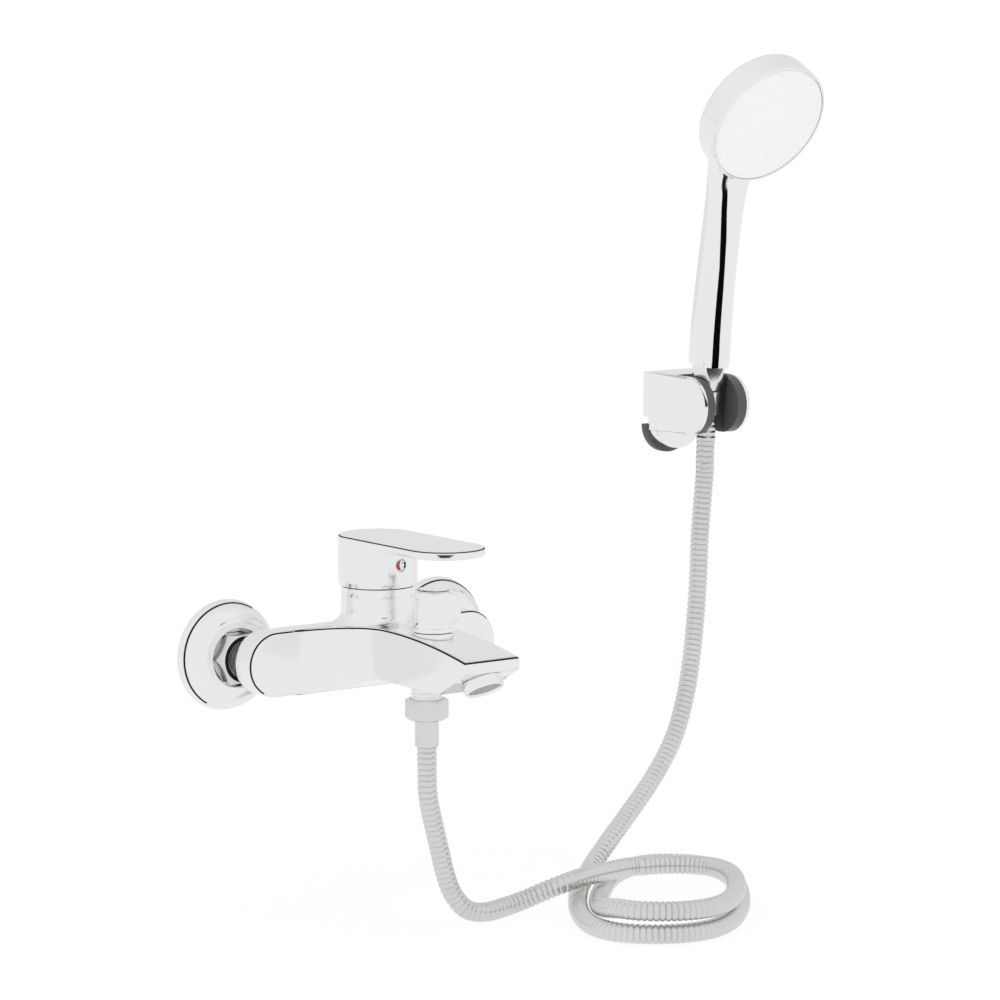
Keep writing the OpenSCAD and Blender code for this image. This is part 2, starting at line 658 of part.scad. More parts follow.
module diverter_plug() color("goldenrod") at_diverter() difference() {
    union() {
        translate([0, 0, plug_low_z]) cylinder(h = plug_l, r = plug_r);
        translate([0, 0, plug_low_z]) cylinder(h = spindle_top_z - plug_low_z, r = spindle_r);
    }
    translate([0, 0, mixed_way_z]) rotate([90, 0, 0]) cylinder(h = 4 * plug_r, r = port_r, center = true);
    translate([elbow_x, 0, plug_low_z - cut]) cylinder(h = plug_l / 2 + cut, r = elbow_r);
    translate([elbow_x + plug_r / 2, 0, mixed_way_z - elbow_r]) lying_x(plug_r, elbow_r - 0.2);
    translate([0, 0, spindle_top_z - 5]) cylinder(h = 6, r = 1.6);
}
tab_h = knob_h - 4;
tab_corner = 5;
module finger_tab() rotate([90, 0, 0]) linear_extrude(height = tab_t, center = true) {
    square([tab_reach - tab_corner, tab_h]);
    translate([0, tab_corner]) square([tab_reach, tab_h - 2 * tab_corner]);
    for (z = [tab_corner, tab_h - tab_corner]) translate([tab_reach - tab_corner, z]) circle(r = tab_corner);
}
flat_r = knob_top_r - 3;
module diverter_knob() color("whitesmoke") at_diverter() difference() {
    translate([0, 0, knob_z]) union() {
        difference() {
            cylinder(h = knob_h, r1 = knob_r, r2 = knob_top_r);
            rotate(tab_turn) translate([flat_r, -knob_r, 4]) cube([knob_r, 2 * knob_r, knob_h]);
        }
        rotate(tab_turn) translate([0, 0, 3]) finger_tab();
    }
    translate([0, 0, knob_z - cut]) cylinder(h = spindle_top_z - knob_z + cut, r = spindle_r + running);
    translate([0, 0, spindle_top_z - cut]) cylinder(h = knob_h, r = 1.7);
    translate([0, 0, spindle_top_z + 2]) cylinder(h = knob_h, r = screw_head_r + gap);
}
module diverter_screw() color("silver") at_diverter() {
    translate([0, 0, spindle_top_z - 4.5]) cylinder(h = 6.5, r = 1.5);
    translate([0, 0, spindle_top_z + 2]) cylinder(h = 2.4, r = screw_head_r);
}
module diverter_cap() color("gainsboro") at_diverter() {
    translate([0, 0, knob_z + knob_h]) cylinder(h = cap_t, r = flat_r);
    translate([0, 0, knob_z + knob_h - 1.2]) cylinder(h = 1.2 + cap_t / 2, r = screw_head_r + easy);
}

// Spout end
insert_r = aerator_thread_r - 1.4;
module aerator_housing() color("whitesmoke") at_aerator() difference() {
    union() {
        translate([0, 0, -aerator_h]) cylinder(h = aerator_h, r1 = aerator_r - 0.6, r2 = aerator_r);
        cylinder(h = aerator_thread_l - 1.6, r = aerator_thread_r);
    }
    translate([0, 0, -aerator_h - cut]) cylinder(h = aerator_h + aerator_thread_l + cut, r = insert_r + running);
    translate([0, 0, -aerator_h - cut]) cylinder(h = 2.2 + cut, r = insert_r + 1.6);
}
module aerator_insert() color("dimgray") at_aerator() difference() {
    translate([0, 0, -aerator_h + 2.2]) cylinder(h = aerator_h + aerator_thread_l - 3.8, r = insert_r);
    translate([0, 0, -aerator_h]) for (k = [0 : 5]) rotate(60 * k)
        translate([insert_r * 0.6, 0, 0]) cylinder(h = 2 * aerator_h, r = 1.6);
    translate([0, 0, -aerator_h]) cylinder(h = 2 * aerator_h, r = 1.6);
}
module aerator_washer() color("black") at_aerator()
    translate([0, 0, aerator_thread_l - 1.6]) tube(1.6, aerator_thread_r - easy, insert_r - 1);

// Shower outlet and the hose's lower end
module shower_outlet() color("gainsboro") at_outlet()
    translate([0, 0, -outlet_end]) tube(outlet_top_z - cut + outlet_end, outlet_r, 0.65 * outlet_r);
module hose_nut() color("silver") at_outlet() difference() {
    translate([0, 0, hose_nut_low]) rotate(hose_nut_turn) hexagon(hose_nut_af, hose_nut_h);
    translate([0, 0, sleeve_flange_z - tail_flange_t - easy]) cylinder(h = hose_nut_h, r = outlet_r + easy);
    translate([0, 0, hose_nut_low - cut]) cylinder(h = hose_nut_h, r = sleeve_r + easy);
}
module hose_washer() color("dimgray") at_outlet()
    translate([0, 0, sleeve_flange_z]) tube(hose_washer_t, outlet_r - easy, hose_bore_r);
module sleeve(flange_z, flange_radius, low_z) difference() {
    union() {
        translate([0, 0, flange_z - tail_flange_t]) cylinder(h = tail_flange_t, r = flange_radius);
        translate([0, 0, low_z]) cylinder(h = flange_z - low_z, r = sleeve_r);
    }
    translate([0, 0, low_z - cut]) cylinder(h = flange_z - low_z + 2 * cut, r = hose_bore_r);
}
module hose_sleeve_lower() color("silver") at_outlet() sleeve(sleeve_flange_z, outlet_r - easy, sleeve_low_z);

// Hose: the coil's first turn lies on the front of its second, and comes down at the left.
coil_mid = [138, -144];
coil_front = 80.5;
coil_low_z = -150;
coil_step = 13.3;
coil_start_turn = 62;
coil_end_turn = 722;
coil_turn = 36;
coil_right = [cos(coil_turn), -sin(coil_turn)];
coil_back = [sin(coil_turn), cos(coil_turn)];
// What the first turn lacks in width and depth, and how far its middle lies beside the second's
turn_narrowing = 8.5;
turn_shortening = 64;
turn_aside = 2;
turn_drift = 3.5;
coil_skew = 7;
// Where along the coil, in degrees, a change from the first turn to the second begins, and how long it takes
widens = [370, 200];
deepens = [270, 170];
sinks = [302, 78];
function smooth(t) = let(u = min(1, max(0, t))) u * u * (3 - 2 * u);
function change(a, span) = smooth((a - span[0]) / span[1]);
function coil_point(a) =
    let(
        wide = coil_r - turn_narrowing * (1 - change(a, widens)),
        deep = coil_depth - turn_shortening * (1 - change(a, deepens)),
        blunt = sin(a) * sqrt(2 / (pow(sin(a), 2) + 1)),
        across = turn_aside - turn_drift * change(a, widens) - wide * cos(a) + coil_skew * sin(a),
        back = deep * (1 + blunt) / 2 - coil_front,
        flat = coil_mid + across * coil_right + back * coil_back
    ) [flat[0], flat[1], coil_low_z + coil_step * (1 - change(a, sinks))];
function unit(v) = v / norm(v);
function coil_heading(a) = unit(coil_point(a + 0.5) - coil_point(a - 0.5));
coil_start = coil_point(coil_start_turn);
coil_end = coil_point(coil_end_turn);
straight = 12;

// The free stretches' points. Their ends come from the sleeves and the coil.
lower_way = [
    [0.8, -98, -78], [4.8, -98, -95], [8.8, -98, -110], [12.6, -98, -124], [17.5, -99, -137], [26, -101, -147],
    [38, -102.5, -150], [55, -100, -149.5], [67, -102.5, -146.6], [77, -108, -142], [88, -113.5, -137.6],
    [104.5, -112, -136]
];
riser_way = [
    [122, -85, -149], [141, -70, -143], [160, -64, -129.5], [177, -58, -119], [203, -51.5, -99], [222, -48, -77],
    [233.5, -45, -53.5], [241, -42, -29.7], [245.7, -40, -5], [249, -38.5, 19.5], [250.8, -37.5, 44.5],
    [252.5, -38, 69.5], [253.3, -39, 86]
];
holder_axis = [0, -sin(lean), cos(lean)];
lower_points = concat(
    [[0, -outlet_y, sleeve_low_z], [0, -outlet_y, sleeve_low_z - straight]],
    lower_way,
    [coil_start - straight * coil_heading(coil_start_turn), coil_start]
);
riser_points = concat(
    [coil_end, coil_end + straight * coil_heading(coil_end_turn)],
    riser_way,
    [pivot + (hose_end_up - straight) * holder_axis, pivot + hose_end_up * holder_axis]
);
riser_split = 11.5;
function spline_at(p, i, t) =
    let(
        n = len(p),
        a = i > 0 ? p[i - 1] : 2 * p[0] - p[1],
        d = i + 2 < n ? p[i + 2] : 2 * p[n - 1] - p[n - 2],
        b = p[i],
        c = p[i + 1]
    ) b + t * (c - a) / 2 + t * t * (2 * a - 5 * b + 4 * c - d) / 2 + t * t * t * (3 * b - a - 3 * c + d) / 2;
function spline(p, u) = let(i = min(floor(u), len(p) - 2)) spline_at(p, i, u - i);
function spline_heading(p, u) = unit(
    spline(p, min(u + 0.02, len(p) - 1)) - spline(p, max(u - 0.02, 0))
);
// Each line is first drawn finely, then looked up again at even steps along its length.
fine = 400;
function between(from, to, n) = [for (k = [0 : n]) from + (to - from) * k / n];
function added_up(steps) = [for (i = 0, s = 0; i <= len(steps); s = s + (i < len(steps) ? steps[i] : 0), i = i + 1) s];
function sum_of(steps) = added_up(steps)[len(steps)];
function evenly(places, points, n) =
    let(
        sums = added_up([for (i = [1 : len(points) - 1]) norm(points[i] - points[i - 1])]),
        table = [for (i = [0 : len(points) - 1]) [sums[i], places[i]]]
    ) [for (k = [0 : n]) k == n ? places[len(places) - 1] : lookup(sums[len(sums) - 1] * k / n, table)];
function evenly_on(p, from, to, n) =
    let(places = between(from, to, fine)) evenly(places, [for (u = places) spline(p, u)], n);
lower_ribs = 36;
coil_ribs = 112;
upper_ribs = 40;
top_ribs = 12;
lower_u = evenly_on(lower_points, 0, len(lower_points) - 1, 2 * lower_ribs);
upper_u = evenly_on(riser_points, 0, riser_split, 2 * upper_ribs);
top_u = evenly_on(riser_points, riser_split, len(riser_points) - 1, 2 * top_ribs);
coil_turns = between(coil_start_turn, coil_end_turn, fine);
coil_a = evenly(coil_turns, [for (a = coil_turns) coil_point(a)], 2 * coil_ribs);
lower_line = [for (u = lower_u) spline(lower_points, u)];
lower_dirs = [for (u = lower_u) spline_heading(lower_points, u)];
upper_line = [for (u = upper_u) spline(riser_points, u)];
upper_dirs = [for (u = upper_u) spline_heading(riser_points, u)];
top_line = [for (u = top_u) spline(riser_points, u)];
top_dirs = [for (u = top_u) spline_heading(riser_points, u)];
coil_line = [for (a = coil_a) coil_point(a)];
coil_dirs = [for (a = coil_a) coil_heading(a)];

// A ribbed tube: rings of 8 sides, in turn on a crest and in a groove, round a plain bore.
sides = 8;
bore_step = 4;
function ring(at, heading, side, r) =
    let(
        across = unit(side - (side * heading) * heading),
        up = cross(heading, across)
    ) [for (k = [0 : sides - 1]) at + r * (cos(360 * k / sides) * across + sin(360 * k / sides) * up)];
function band(low, high, flip) = [
    for (k = [0 : sides - 1])
        let(
            j = (k + 1) % sides,
            quad = [low + k, low + j, high + j, high + k],
            turned = flip ? [quad[3], quad[2], quad[1], quad[0]] : quad
        )
        each [[turned[0], turned[1], turned[2]], [turned[0], turned[2], turned[3]]]
];
module ribbed_tube(line, dirs, side) {
    n = len(line) - 1;
    m = n / bore_step;
    outer = [for (i = [0 : n]) each ring(line[i], dirs[i], side, hose_r - (i % 2) * rib_depth)];
    inner = [for (i = [0 : m]) each ring(line[i * bore_step], dirs[i * bore_step], side, hose_bore_r)];
    first_inner = sides * (n + 1);
    last_inner = first_inner + sides * m;
    polyhedron(
        points = concat(outer, inner),
        faces = concat(
            [for (i = [0 : n - 1]) each band(sides * i, sides * (i + 1), true)],
            [for (i = [0 : m - 1]) each band(first_inner + sides * i, first_inner + sides * (i + 1), false)],
            band(0, first_inner, false),
            band(sides * n, last_inner, true)
        ),
        convexity = 10
    );
}
module hose_lower() color("lightgray") ribbed_tube(lower_line, lower_dirs, [0, 1, 0]);
module hose_coil() color("lightgray") ribbed_tube(coil_line, coil_dirs, [0, 0, 1]);
module hose_upper() color("lightgray") ribbed_tube(upper_line, upper_dirs, [1, -1, 0]);
module hose_top() color("lightgray") ribbed_tube(top_line, top_dirs, [1, -1, 0]);

// The least gap between stretches of the hose that aren't next to each other
hose_line = concat(lower_line, coil_line, upper_line, top_line);
apart = 10;
least_gap = min([
    for (i = [0 : 2 : len(hose_line) - 1 - apart])
        min([for (j = [i + apart : 2 : len(hose_line) - 1]) norm(hose_line[i] - hose_line[j])])
]) - 2 * hose_r;
hose_length = sum_of([for (i = [1 : len(hose_line) - 1]) norm(hose_line[i] - hose_line[i - 1])]);
echo(hose_least_gap = least_gap, hose_length = hose_length);

// The hose's upper end
module hose_sleeve_upper() color("silver") in_holder()
    sleeve(sleeve_flange_up_z + tail_flange_t, spigot_r - easy, sleeve_end_up);
module cone_washer() color("dimgray") in_holder() translate([0, 0, cone_top - spigot_l - cone_washer_t])
    tube(cone_washer_t, spigot_r - easy, hose_bore_r);
module hose_cone_nut() color("silver") in_holder() difference() {
    translate([0, 0, cone_low]) cylinder(h = cone_l, r1 = cone_low_r, r2 = cone_top_r);
    translate([0, 0, sleeve_flange_up_z - easy]) cylinder(h = cone_l, r = spigot_r + easy);
    translate([0, 0, cone_low - cut]) cylinder(h = cone_l, r = sleeve_r + easy);
}

// Holder
module at_bracket() translate([bracket_x, 0, 0]) children();
module upright(t) rotate([90, 0, 0]) linear_extrude(height = t) children();
module lobe_outline(r) {
    circle(r = r);
    translate([-r, 0]) square([2 * r, r]);
}
module bracket_wall_plate() color("dimgray") at_bracket() difference() {
    union() {
        translate([0, 0, lobe_z]) upright(plate_t) intersection() {
            circle(r = plate_r);
            translate([-2 * plate_r, -2 * plate_r]) square([4 * plate_r, 2 * plate_r]);
        }
        translate([-plate_tongue_half_w, -plate_t, lobe_z - cut])
            cube([2 * plate_tongue_half_w, plate_t, plate_tongue_top - lobe_z + cut]);
    }
    for (k = [-1, 1]) translate([0, cut, screw_mid_z + k * screw_spacing / 2])
        out_of_wall(0, 2 * plate_r, screw_hole_r);
}
module arm_outline() {
    translate([-pivot_y, pivot_z]) circle(r = cheek_r);
    translate([-pivot_y, arm_low]) square([pivot_y - plate_t - plate_gap, 2 * cheek_r]);
    translate([-pivot_y, block_low]) square([pivot_y, arm_top - block_low]);
}
pocket_y = plate_t + plate_gap;
sleeve_room = 2 * sleeve_r + 4;
// The nut leans back by this angle, in degrees, when the holder is turned up.
tilt_back = 12;
nut_room = cone_top_r / cos(tilt_back) + cheek_r * tan(tilt_back) + gap;
screw_room = 9;
screw_room_half_w = plate_tongue_half_w - 1;
module bracket_body() color("whitesmoke") at_bracket() difference() {
    union() {
        along_x(bracket_w) arm_outline();
        translate([0, -pocket_y, lobe_z]) upright(lobe_t) lobe_outline(lobe_r);
    }
    translate([-core_half_w - easy, -2 * pivot_y, arm_low - cut])
        cube([2 * core_half_w + 2 * easy, 2 * pivot_y - pivot_y, 2 * cheek_r + 2 * cut]);
    translate([0, -pivot_y, pivot_z]) lying_x(2 * core_half_w + 2 * easy, cheek_r + gap);
    translate([0, -pivot_y, pivot_z]) lying_x(2 * (core_half_w + journal_l + easy), journal_r + running);
    translate([-sleeve_room / 2, -pivot_y, arm_low - cut]) cube([sleeve_room, sleeve_room, cheek_r / 2]);
    translate([-plate_tongue_half_w - plate_gap, -pocket_y, lobe_z - plate_r])
        cube([2 * (plate_tongue_half_w + plate_gap), pocket_y + cut, plate_tongue_top + plate_gap - lobe_z + plate_r]);
    translate([-screw_room_half_w, -pocket_y - screw_room, lobe_z + cut])
        cube([2 * screw_room_half_w, screw_room + cut, plate_tongue_top - lobe_z - cut]);
    translate([-core_half_w - easy, -pivot_y, pivot_z])
        cube([2 * core_half_w + 2 * easy, nut_room, cheek_r + cut]);
}
module holder_core() color("dimgray") translate(pivot) difference() {
    union() {
        lying_x(2 * core_half_w, core_r);
        lying_x(2 * (core_half_w + journal_l), journal_r);
    }
    rotate([lean, 0, 0]) {
        translate([0, 0, cone_low]) cylinder(h = cone_l, r1 = cone_low_r + gap, r2 = cone_top_r + gap);
        translate([0, 0, -2 * cheek_r]) cylinder(h = 2 * cheek_r + cone_low + 0.1, r = cone_low_r + gap);
        translate([-slot_w / 2, -2 * cheek_r, -2 * cheek_r]) cube([slot_w, 2 * cheek_r, 4 * cheek_r]);
    }
}

// Handset
back_r = 9;
plate_z = -5.6;
seal_seat_z = -7.2;
nozzle_disc_z = -7;
nozzle_disc_t = plate_z - nozzle_disc_z;
seal_w = 2;
cavity_r = shell_inner_r - 2 * seal_w;
back_t = 3;
module head_shell() translate([0, 0, -head_t]) rotate_extrude() {
    square([head_r - back_r, head_t - face_ring_t]);
    translate([0, back_r]) square([head_r, head_t - face_ring_t - back_r]);
    intersection() {
        translate([head_r - back_r, back_r]) circle(r = back_r);
        square([head_r, back_r]);
    }
}
// The neck runs from the handle's end into the lower half of the head's back.
neck_root_r = 17;
neck_root_y = 2 - head_r + neck_root_r;
module at_handle_end() in_holder() translate([0, handle_end[0], handle_end[1]]) children();
module neck() hull() {
    at_handle_end() rotate([handle_bend, 0, 0]) translate([0, 0, -cut]) cylinder(h = cut, r = handle_r + easy, $fn = 32);
    in_head() translate([0, neck_root_y, cut - head_t]) cylinder(h = cut, r = neck_root_r, $fn = 32);
}
module bent(r) in_holder() translate([0, -handle_bend_r, cone_top]) rotate([90, 0, 90])
    rotate_extrude(angle = handle_bend, $fn = 720) translate([handle_bend_r, 0]) circle(r = r, $fn = 64);
// A link leads from the handle's bore to the head's cavity, level with the cavity's middle.
link_r = 2.7;
link_y = -0.7 * head_r;
link_z = back_t - head_t + link_r + gap;
link = [
    link_y * cos(face_turn) - link_z * sin(face_turn) - head_fwd,
    link_y * sin(face_turn) + link_z * cos(face_turn) + head_up
] - handle_end;
link_lean = atan2(-link[0], link[1]);
module handset_body() color("whitesmoke") difference() {
    union() {
        in_head() head_shell();
        neck();
        bent(handle_r);
        in_holder() translate([0, 0, cone_top - spigot_l]) cylinder(h = spigot_l + cut, r = spigot_r);
    }
    in_holder() translate([0, 0, cone_top - spigot_l - cut]) cylinder(h = spigot_l + 2 * cut, r = handle_bore_r);
    bent(handle_bore_r - gap);
    at_handle_end() rotate([link_lean, 0, 0]) translate([0, 0, -2 * cut])
        cylinder(h = norm(link) + 2 * cut, r = link_r);
    in_head() translate([0, 0, plate_z]) cylinder(h = head_t, r = shell_inner_r);
    in_head() translate([0, 0, seal_seat_z]) cylinder(h = head_t, r = shell_inner_r - seal_w);
    in_head() translate([0, 0, back_t - head_t]) cylinder(h = head_t, r = cavity_r);
}
module face_ring() color("gainsboro") in_head() translate([0, 0, -face_ring_t])
    tube(face_ring_t, head_r, plate_front_r + easy);
module spray_places() for (r = spray_rings, k = [0 : r[1] - 1])
    rotate(360 * k / r[1] + 3 * r[0]) translate([r[0], 0, 0]) children();
module spray_plate() color("white") in_head() difference() {
    union() {
        translate([0, 0, plate_z]) cylinder(h = -face_ring_t - plate_z, r = shell_inner_r - easy);
        translate([0, 0, plate_z]) cylinder(h = -face_inset - plate_z, r = plate_front_r);
    }
    translate([0, 0, plate_z - cut]) spray_places() cylinder(h = 2 * cut - plate_z, r = nozzle_r + running);
}
module spray_nozzles() color("gainsboro") in_head() {
    translate([0, 0, nozzle_disc_z]) cylinder(h = nozzle_disc_t, r = cavity_r - 2 * easy);
    translate([0, 0, plate_z - gap]) spray_places() cylinder(h = nozzle_proud + gap - plate_z, r = nozzle_r);
}
module face_seal() color("black") in_head() translate([0, 0, seal_seat_z])
    tube(plate_z - seal_seat_z, shell_inner_r - seal_w - easy, cavity_r - easy);

mixer_body();
wall_union(-1);  // wall_union_left
wall_union(1);  // wall_union_right
wall_flange(-1);  // wall_flange_left
wall_flange(1);  // wall_flange_right
union_nut(-1);  // union_nut_left
union_nut(1);  // union_nut_right
inlet_washer(-1);  // inlet_washer_left
inlet_washer(1);  // inlet_washer_right
inlet_nipple(-1);  // inlet_nipple_left
inlet_nipple(1);  // inlet_nipple_right
cartridge_base();
cartridge_seals();
fixed_disc();
moving_disc();
disc_carrier();
cartridge_housing();
cartridge_rotor();
stem_pin();
cartridge_stem();
clamping_nut();
trim_ring();
lever_handle();
lever_screw();
index_button();
diverter_bush();
diverter_seals();
diverter_plug();
diverter_knob();
diverter_screw();
diverter_cap();
aerator_housing();
aerator_insert();
aerator_washer();
shower_outlet();
hose_nut();
hose_washer();
hose_sleeve_lower();
hose_lower();
hose_coil();
hose_upper();
hose_top();
hose_sleeve_upper();
cone_washer();
hose_cone_nut();
bracket_wall_plate();
bracket_body();
holder_core();
handset_body();
face_ring();
spray_plate();
spray_nozzles();
face_seal();
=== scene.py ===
"""Dressed scene of a wall-mounted bath shower mixer with a hand shower, its hose and its wall holder.

Sizes are written in millimetres, as in the part's source, and turned into metres where a mesh is made.
"""

import json
import logging
import math
from dataclasses import dataclass, field
from enum import Enum
from typing import Callable, Iterable, Sequence

import bmesh
import bpy
from mathutils import Matrix, Vector

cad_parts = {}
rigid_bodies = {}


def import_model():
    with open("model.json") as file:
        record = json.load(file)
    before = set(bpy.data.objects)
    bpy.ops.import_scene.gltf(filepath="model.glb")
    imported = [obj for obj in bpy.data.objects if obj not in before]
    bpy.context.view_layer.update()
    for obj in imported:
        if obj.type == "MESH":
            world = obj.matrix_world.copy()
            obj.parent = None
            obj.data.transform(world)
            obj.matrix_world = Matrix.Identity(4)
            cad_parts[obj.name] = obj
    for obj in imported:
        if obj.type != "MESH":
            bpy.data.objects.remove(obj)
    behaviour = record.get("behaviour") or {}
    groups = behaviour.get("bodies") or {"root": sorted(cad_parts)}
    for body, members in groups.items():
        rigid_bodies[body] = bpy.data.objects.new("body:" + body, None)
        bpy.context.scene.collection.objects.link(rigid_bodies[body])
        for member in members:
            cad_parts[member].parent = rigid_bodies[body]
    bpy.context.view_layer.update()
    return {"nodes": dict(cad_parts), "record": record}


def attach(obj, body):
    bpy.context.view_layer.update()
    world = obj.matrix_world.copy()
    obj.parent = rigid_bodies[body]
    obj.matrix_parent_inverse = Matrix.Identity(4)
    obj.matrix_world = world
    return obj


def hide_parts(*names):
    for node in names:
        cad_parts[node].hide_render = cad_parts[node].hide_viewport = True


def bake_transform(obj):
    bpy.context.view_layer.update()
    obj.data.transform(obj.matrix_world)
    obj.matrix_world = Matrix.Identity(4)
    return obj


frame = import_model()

LOG = logging.getLogger("mixer_scene")
MM = 0.001
Point2 = tuple[float, float]
Point3 = tuple[float, float, float]
EdgeTest = Callable[[Vector, Vector, Vector, Vector], bool]


class Body(Enum):
    """The bodies of the part that pieces ride on."""

    MIXER = "mixer"
    LEVER = "lever"
    DIVERTER = "diverter"
    CRADLE = "cradle"
    HANDSET = "handset"


class Grain(Enum):
    """The kinds of fine surface that the finishes have."""

    POLISHED = "polished"
    BRUSHED = "brushed"
    MOULDED = "moulded"


# Bench tools


def deselect() -> None:
    """Leaves edit mode and deselects everything."""
    if bpy.context.object is not None and bpy.context.object.mode != "OBJECT":
        bpy.ops.object.mode_set(mode="OBJECT")
    bpy.ops.object.select_all(action="DESELECT")


def pick(piece: bpy.types.Object) -> None:
    """Makes one object the only selected one and the active one.

    Args:
        piece: The mesh object.
    """
    deselect()
    piece.select_set(True)
    bpy.context.view_layer.objects.active = piece


def edit_all(piece: bpy.types.Object) -> None:
    """Opens a piece in edit mode with all of it selected.

    Args:
        piece: The mesh object.
    """
    pick(piece)
    bpy.ops.object.mode_set(mode="EDIT")
    bpy.ops.mesh.select_all(action="SELECT")


def close_edit() -> None:
    """Goes back to object mode."""
    bpy.ops.object.mode_set(mode="OBJECT")


def tidy_mesh(piece: bpy.types.Object, merge: float = 0.001) -> None:
    """Merges doubled vertices and turns all faces outwards.

    Args:
        piece: The mesh object.
        merge: Distance in millimetres under which vertices merge.
    """
    edit_all(piece)
    bpy.ops.mesh.remove_doubles(threshold=merge * MM)
    bpy.ops.mesh.normals_make_consistent(inside=False)
    close_edit()


def apply_all(piece: bpy.types.Object) -> None:
    """Applies every modifier of a piece, in order.

    Args:
        piece: The mesh object.
    """
    pick(piece)
    for modifier in list(piece.modifiers):
        bpy.ops.object.modifier_apply(modifier=modifier.name)


def smooth(piece: bpy.types.Object, angle: float = 35.0) -> None:
    """Shades a piece smoothly, keeping edges sharper than an angle.

    Args:
        piece: The mesh object.
        angle: Angle in degrees above which an edge stays sharp.
    """
    pick(piece)
    bpy.ops.object.shade_smooth_by_angle(angle=math.radians(angle))


def round_edges(piece: bpy.types.Object, width: float, segments: int = 3, angle: float = 30.0) -> None:
    """Bevels the sharp edges of a piece and applies the bevel.

    Args:
        piece: The mesh object.
        width: Width of the bevel in millimetres.
        segments: Number of strips in the bevel.
        angle: Angle in degrees above which an edge is bevelled.
    """
    bevel = piece.modifiers.new("edge", "BEVEL")
    bevel.width = width * MM
    bevel.segments = segments
    bevel.limit_method = "ANGLE"
    bevel.angle_limit = math.radians(angle)
    bevel.use_clamp_overlap = False
    bevel.miter_outer = "MITER_ARC"
    weights = piece.modifiers.new("weights", "WEIGHTED_NORMAL")
    weights.keep_sharp = True
    apply_all(piece)


def combine(piece: bpy.types.Object, other: bpy.types.Object, how: str) -> None:
    """Joins another solid to a piece, cuts it out or keeps what they share, and removes it.

    Args:
        piece: The solid that stays.
        other: The solid that is used up.
        how: UNION, DIFFERENCE or INTERSECT.
    """
    if not other.data.materials:
        for material in piece.data.materials:
            other.data.materials.append(material)
    boolean = piece.modifiers.new("solid", "BOOLEAN")
    boolean.operation = how
    boolean.object = other
    boolean.solver = "MANIFOLD"
    apply_all(piece)
    bpy.data.objects.remove(other, do_unlink=True)


def new_piece(name: str) -> bpy.types.Object:
    """Starts a piece as a single vertex at the origin, in edit mode.

    Args:
        name: Name of the piece.

    Returns:
        The new object, open in edit mode with its vertex selected.
    """
    deselect()
    bpy.ops.mesh.primitive_plane_add(size=MM, enter_editmode=True, location=(0, 0, 0))
    piece = bpy.context.object
    piece.name = name
    bpy.ops.mesh.select_all(action="SELECT")
    bpy.ops.mesh.merge(type="CENTER")
    return piece


def trace(points: Sequence[Vector]) -> None:
    """Moves the one selected vertex to the first point and extrudes it along the others.

    Args:
        points: The points in order, in metres.
    """
    bpy.ops.transform.translate(value=points[0])
    for before, after in zip(points, points[1:]):
        bpy.ops.mesh.extrude_vertices_move(TRANSFORM_OT_translate={"value": after - before})


def fillet(corners: Sequence[Sequence[float]], steps: int = 4) -> list[Point2]:
    """Rounds the corners of an open outline.

    Args:
        corners: Corners as (radius, height) or (radius, height, rounding), in millimetres.
        steps: Number of strips in each rounding.

    Returns:
        The rounded outline's points.
    """
    made: list[Point2] = []
    for i, corner in enumerate(corners):
        here = Vector(corner[:2])
        rounding = corner[2] if len(corner) > 2 else 0.0
        if rounding <= 0 or i in (0, len(corners) - 1):
            made.append((here.x, here.y))
            continue
        back = Vector(corners[i - 1][:2]) - here
        ahead = Vector(corners[i + 1][:2]) - here
        half = back.angle(ahead) / 2
        reach = min(rounding / math.tan(half), 0.49 * back.length, 0.49 * ahead.length)
        start, end = here + back.normalized() * reach, here + ahead.normalized() * reach
        for k in range(steps + 1):
            t = k / steps
            # A conic through the two tangent points stands close enough to an arc at this size.
            weight = math.sin(half)
            low, mid, high = (1 - t) ** 2, 2 * t * (1 - t) * weight, t ** 2
            spot = (start * low + here * mid + end * high) / (low + mid + high)
            made.append((spot.x, spot.y))
    return made


def lathe(
    name: str, outline: Sequence[Point2], place: Matrix, steps: int = 96, closed: bool = True,
) -> bpy.types.Object:
    """Spins an outline round the local z axis.

    Args:
        name: Name of the piece.
        outline: Points (radius, height) in millimetres.
        place: The piece's place in the part's frame, in metres.
        steps: Number of steps round the axis.
        closed: Whether the outline goes back to its first point.

    Returns:
        The turned piece.
    """
    piece = new_piece(name)
    points = [Vector((r * MM, 0, z * MM)) for r, z in outline]
    if closed:
        points.append(points[0].copy())
    trace(points)
    bpy.ops.mesh.select_all(action="SELECT")
    bpy.ops.mesh.remove_doubles(threshold=1e-7)
    bpy.ops.mesh.select_all(action="SELECT")
    bpy.ops.mesh.spin(steps=steps, angle=math.tau, center=(0, 0, 0), axis=(0, 0, 1))
    close_edit()
    piece.data.transform(place)
    tidy_mesh(piece)
    smooth(piece)
    return piece


def rod(
    name: str, radius: float, low: float, high: float, place: Matrix, sides: int = 96,
) -> bpy.types.Object:
    """Adds a plain cylinder along the local z axis, as a tool for joining or cutting.

    Args:
        name: Name of the piece.
        radius: Radius in millimetres.
        low: Lower end in millimetres.
        high: Upper end in millimetres.
        place: The piece's place in the part's frame, in metres.
        sides: Number of sides.

    Returns:
        The cylinder.
    """
    deselect()
    bpy.ops.mesh.primitive_cylinder_add(
        vertices=sides, radius=radius * MM, depth=(high - low) * MM, location=(0, 0, (low + high) / 2 * MM)
    )
    piece = bpy.context.object
    piece.name = name
    bpy.ops.object.transform_apply(location=True, rotation=True, scale=True)
    piece.data.transform(place)
    return piece


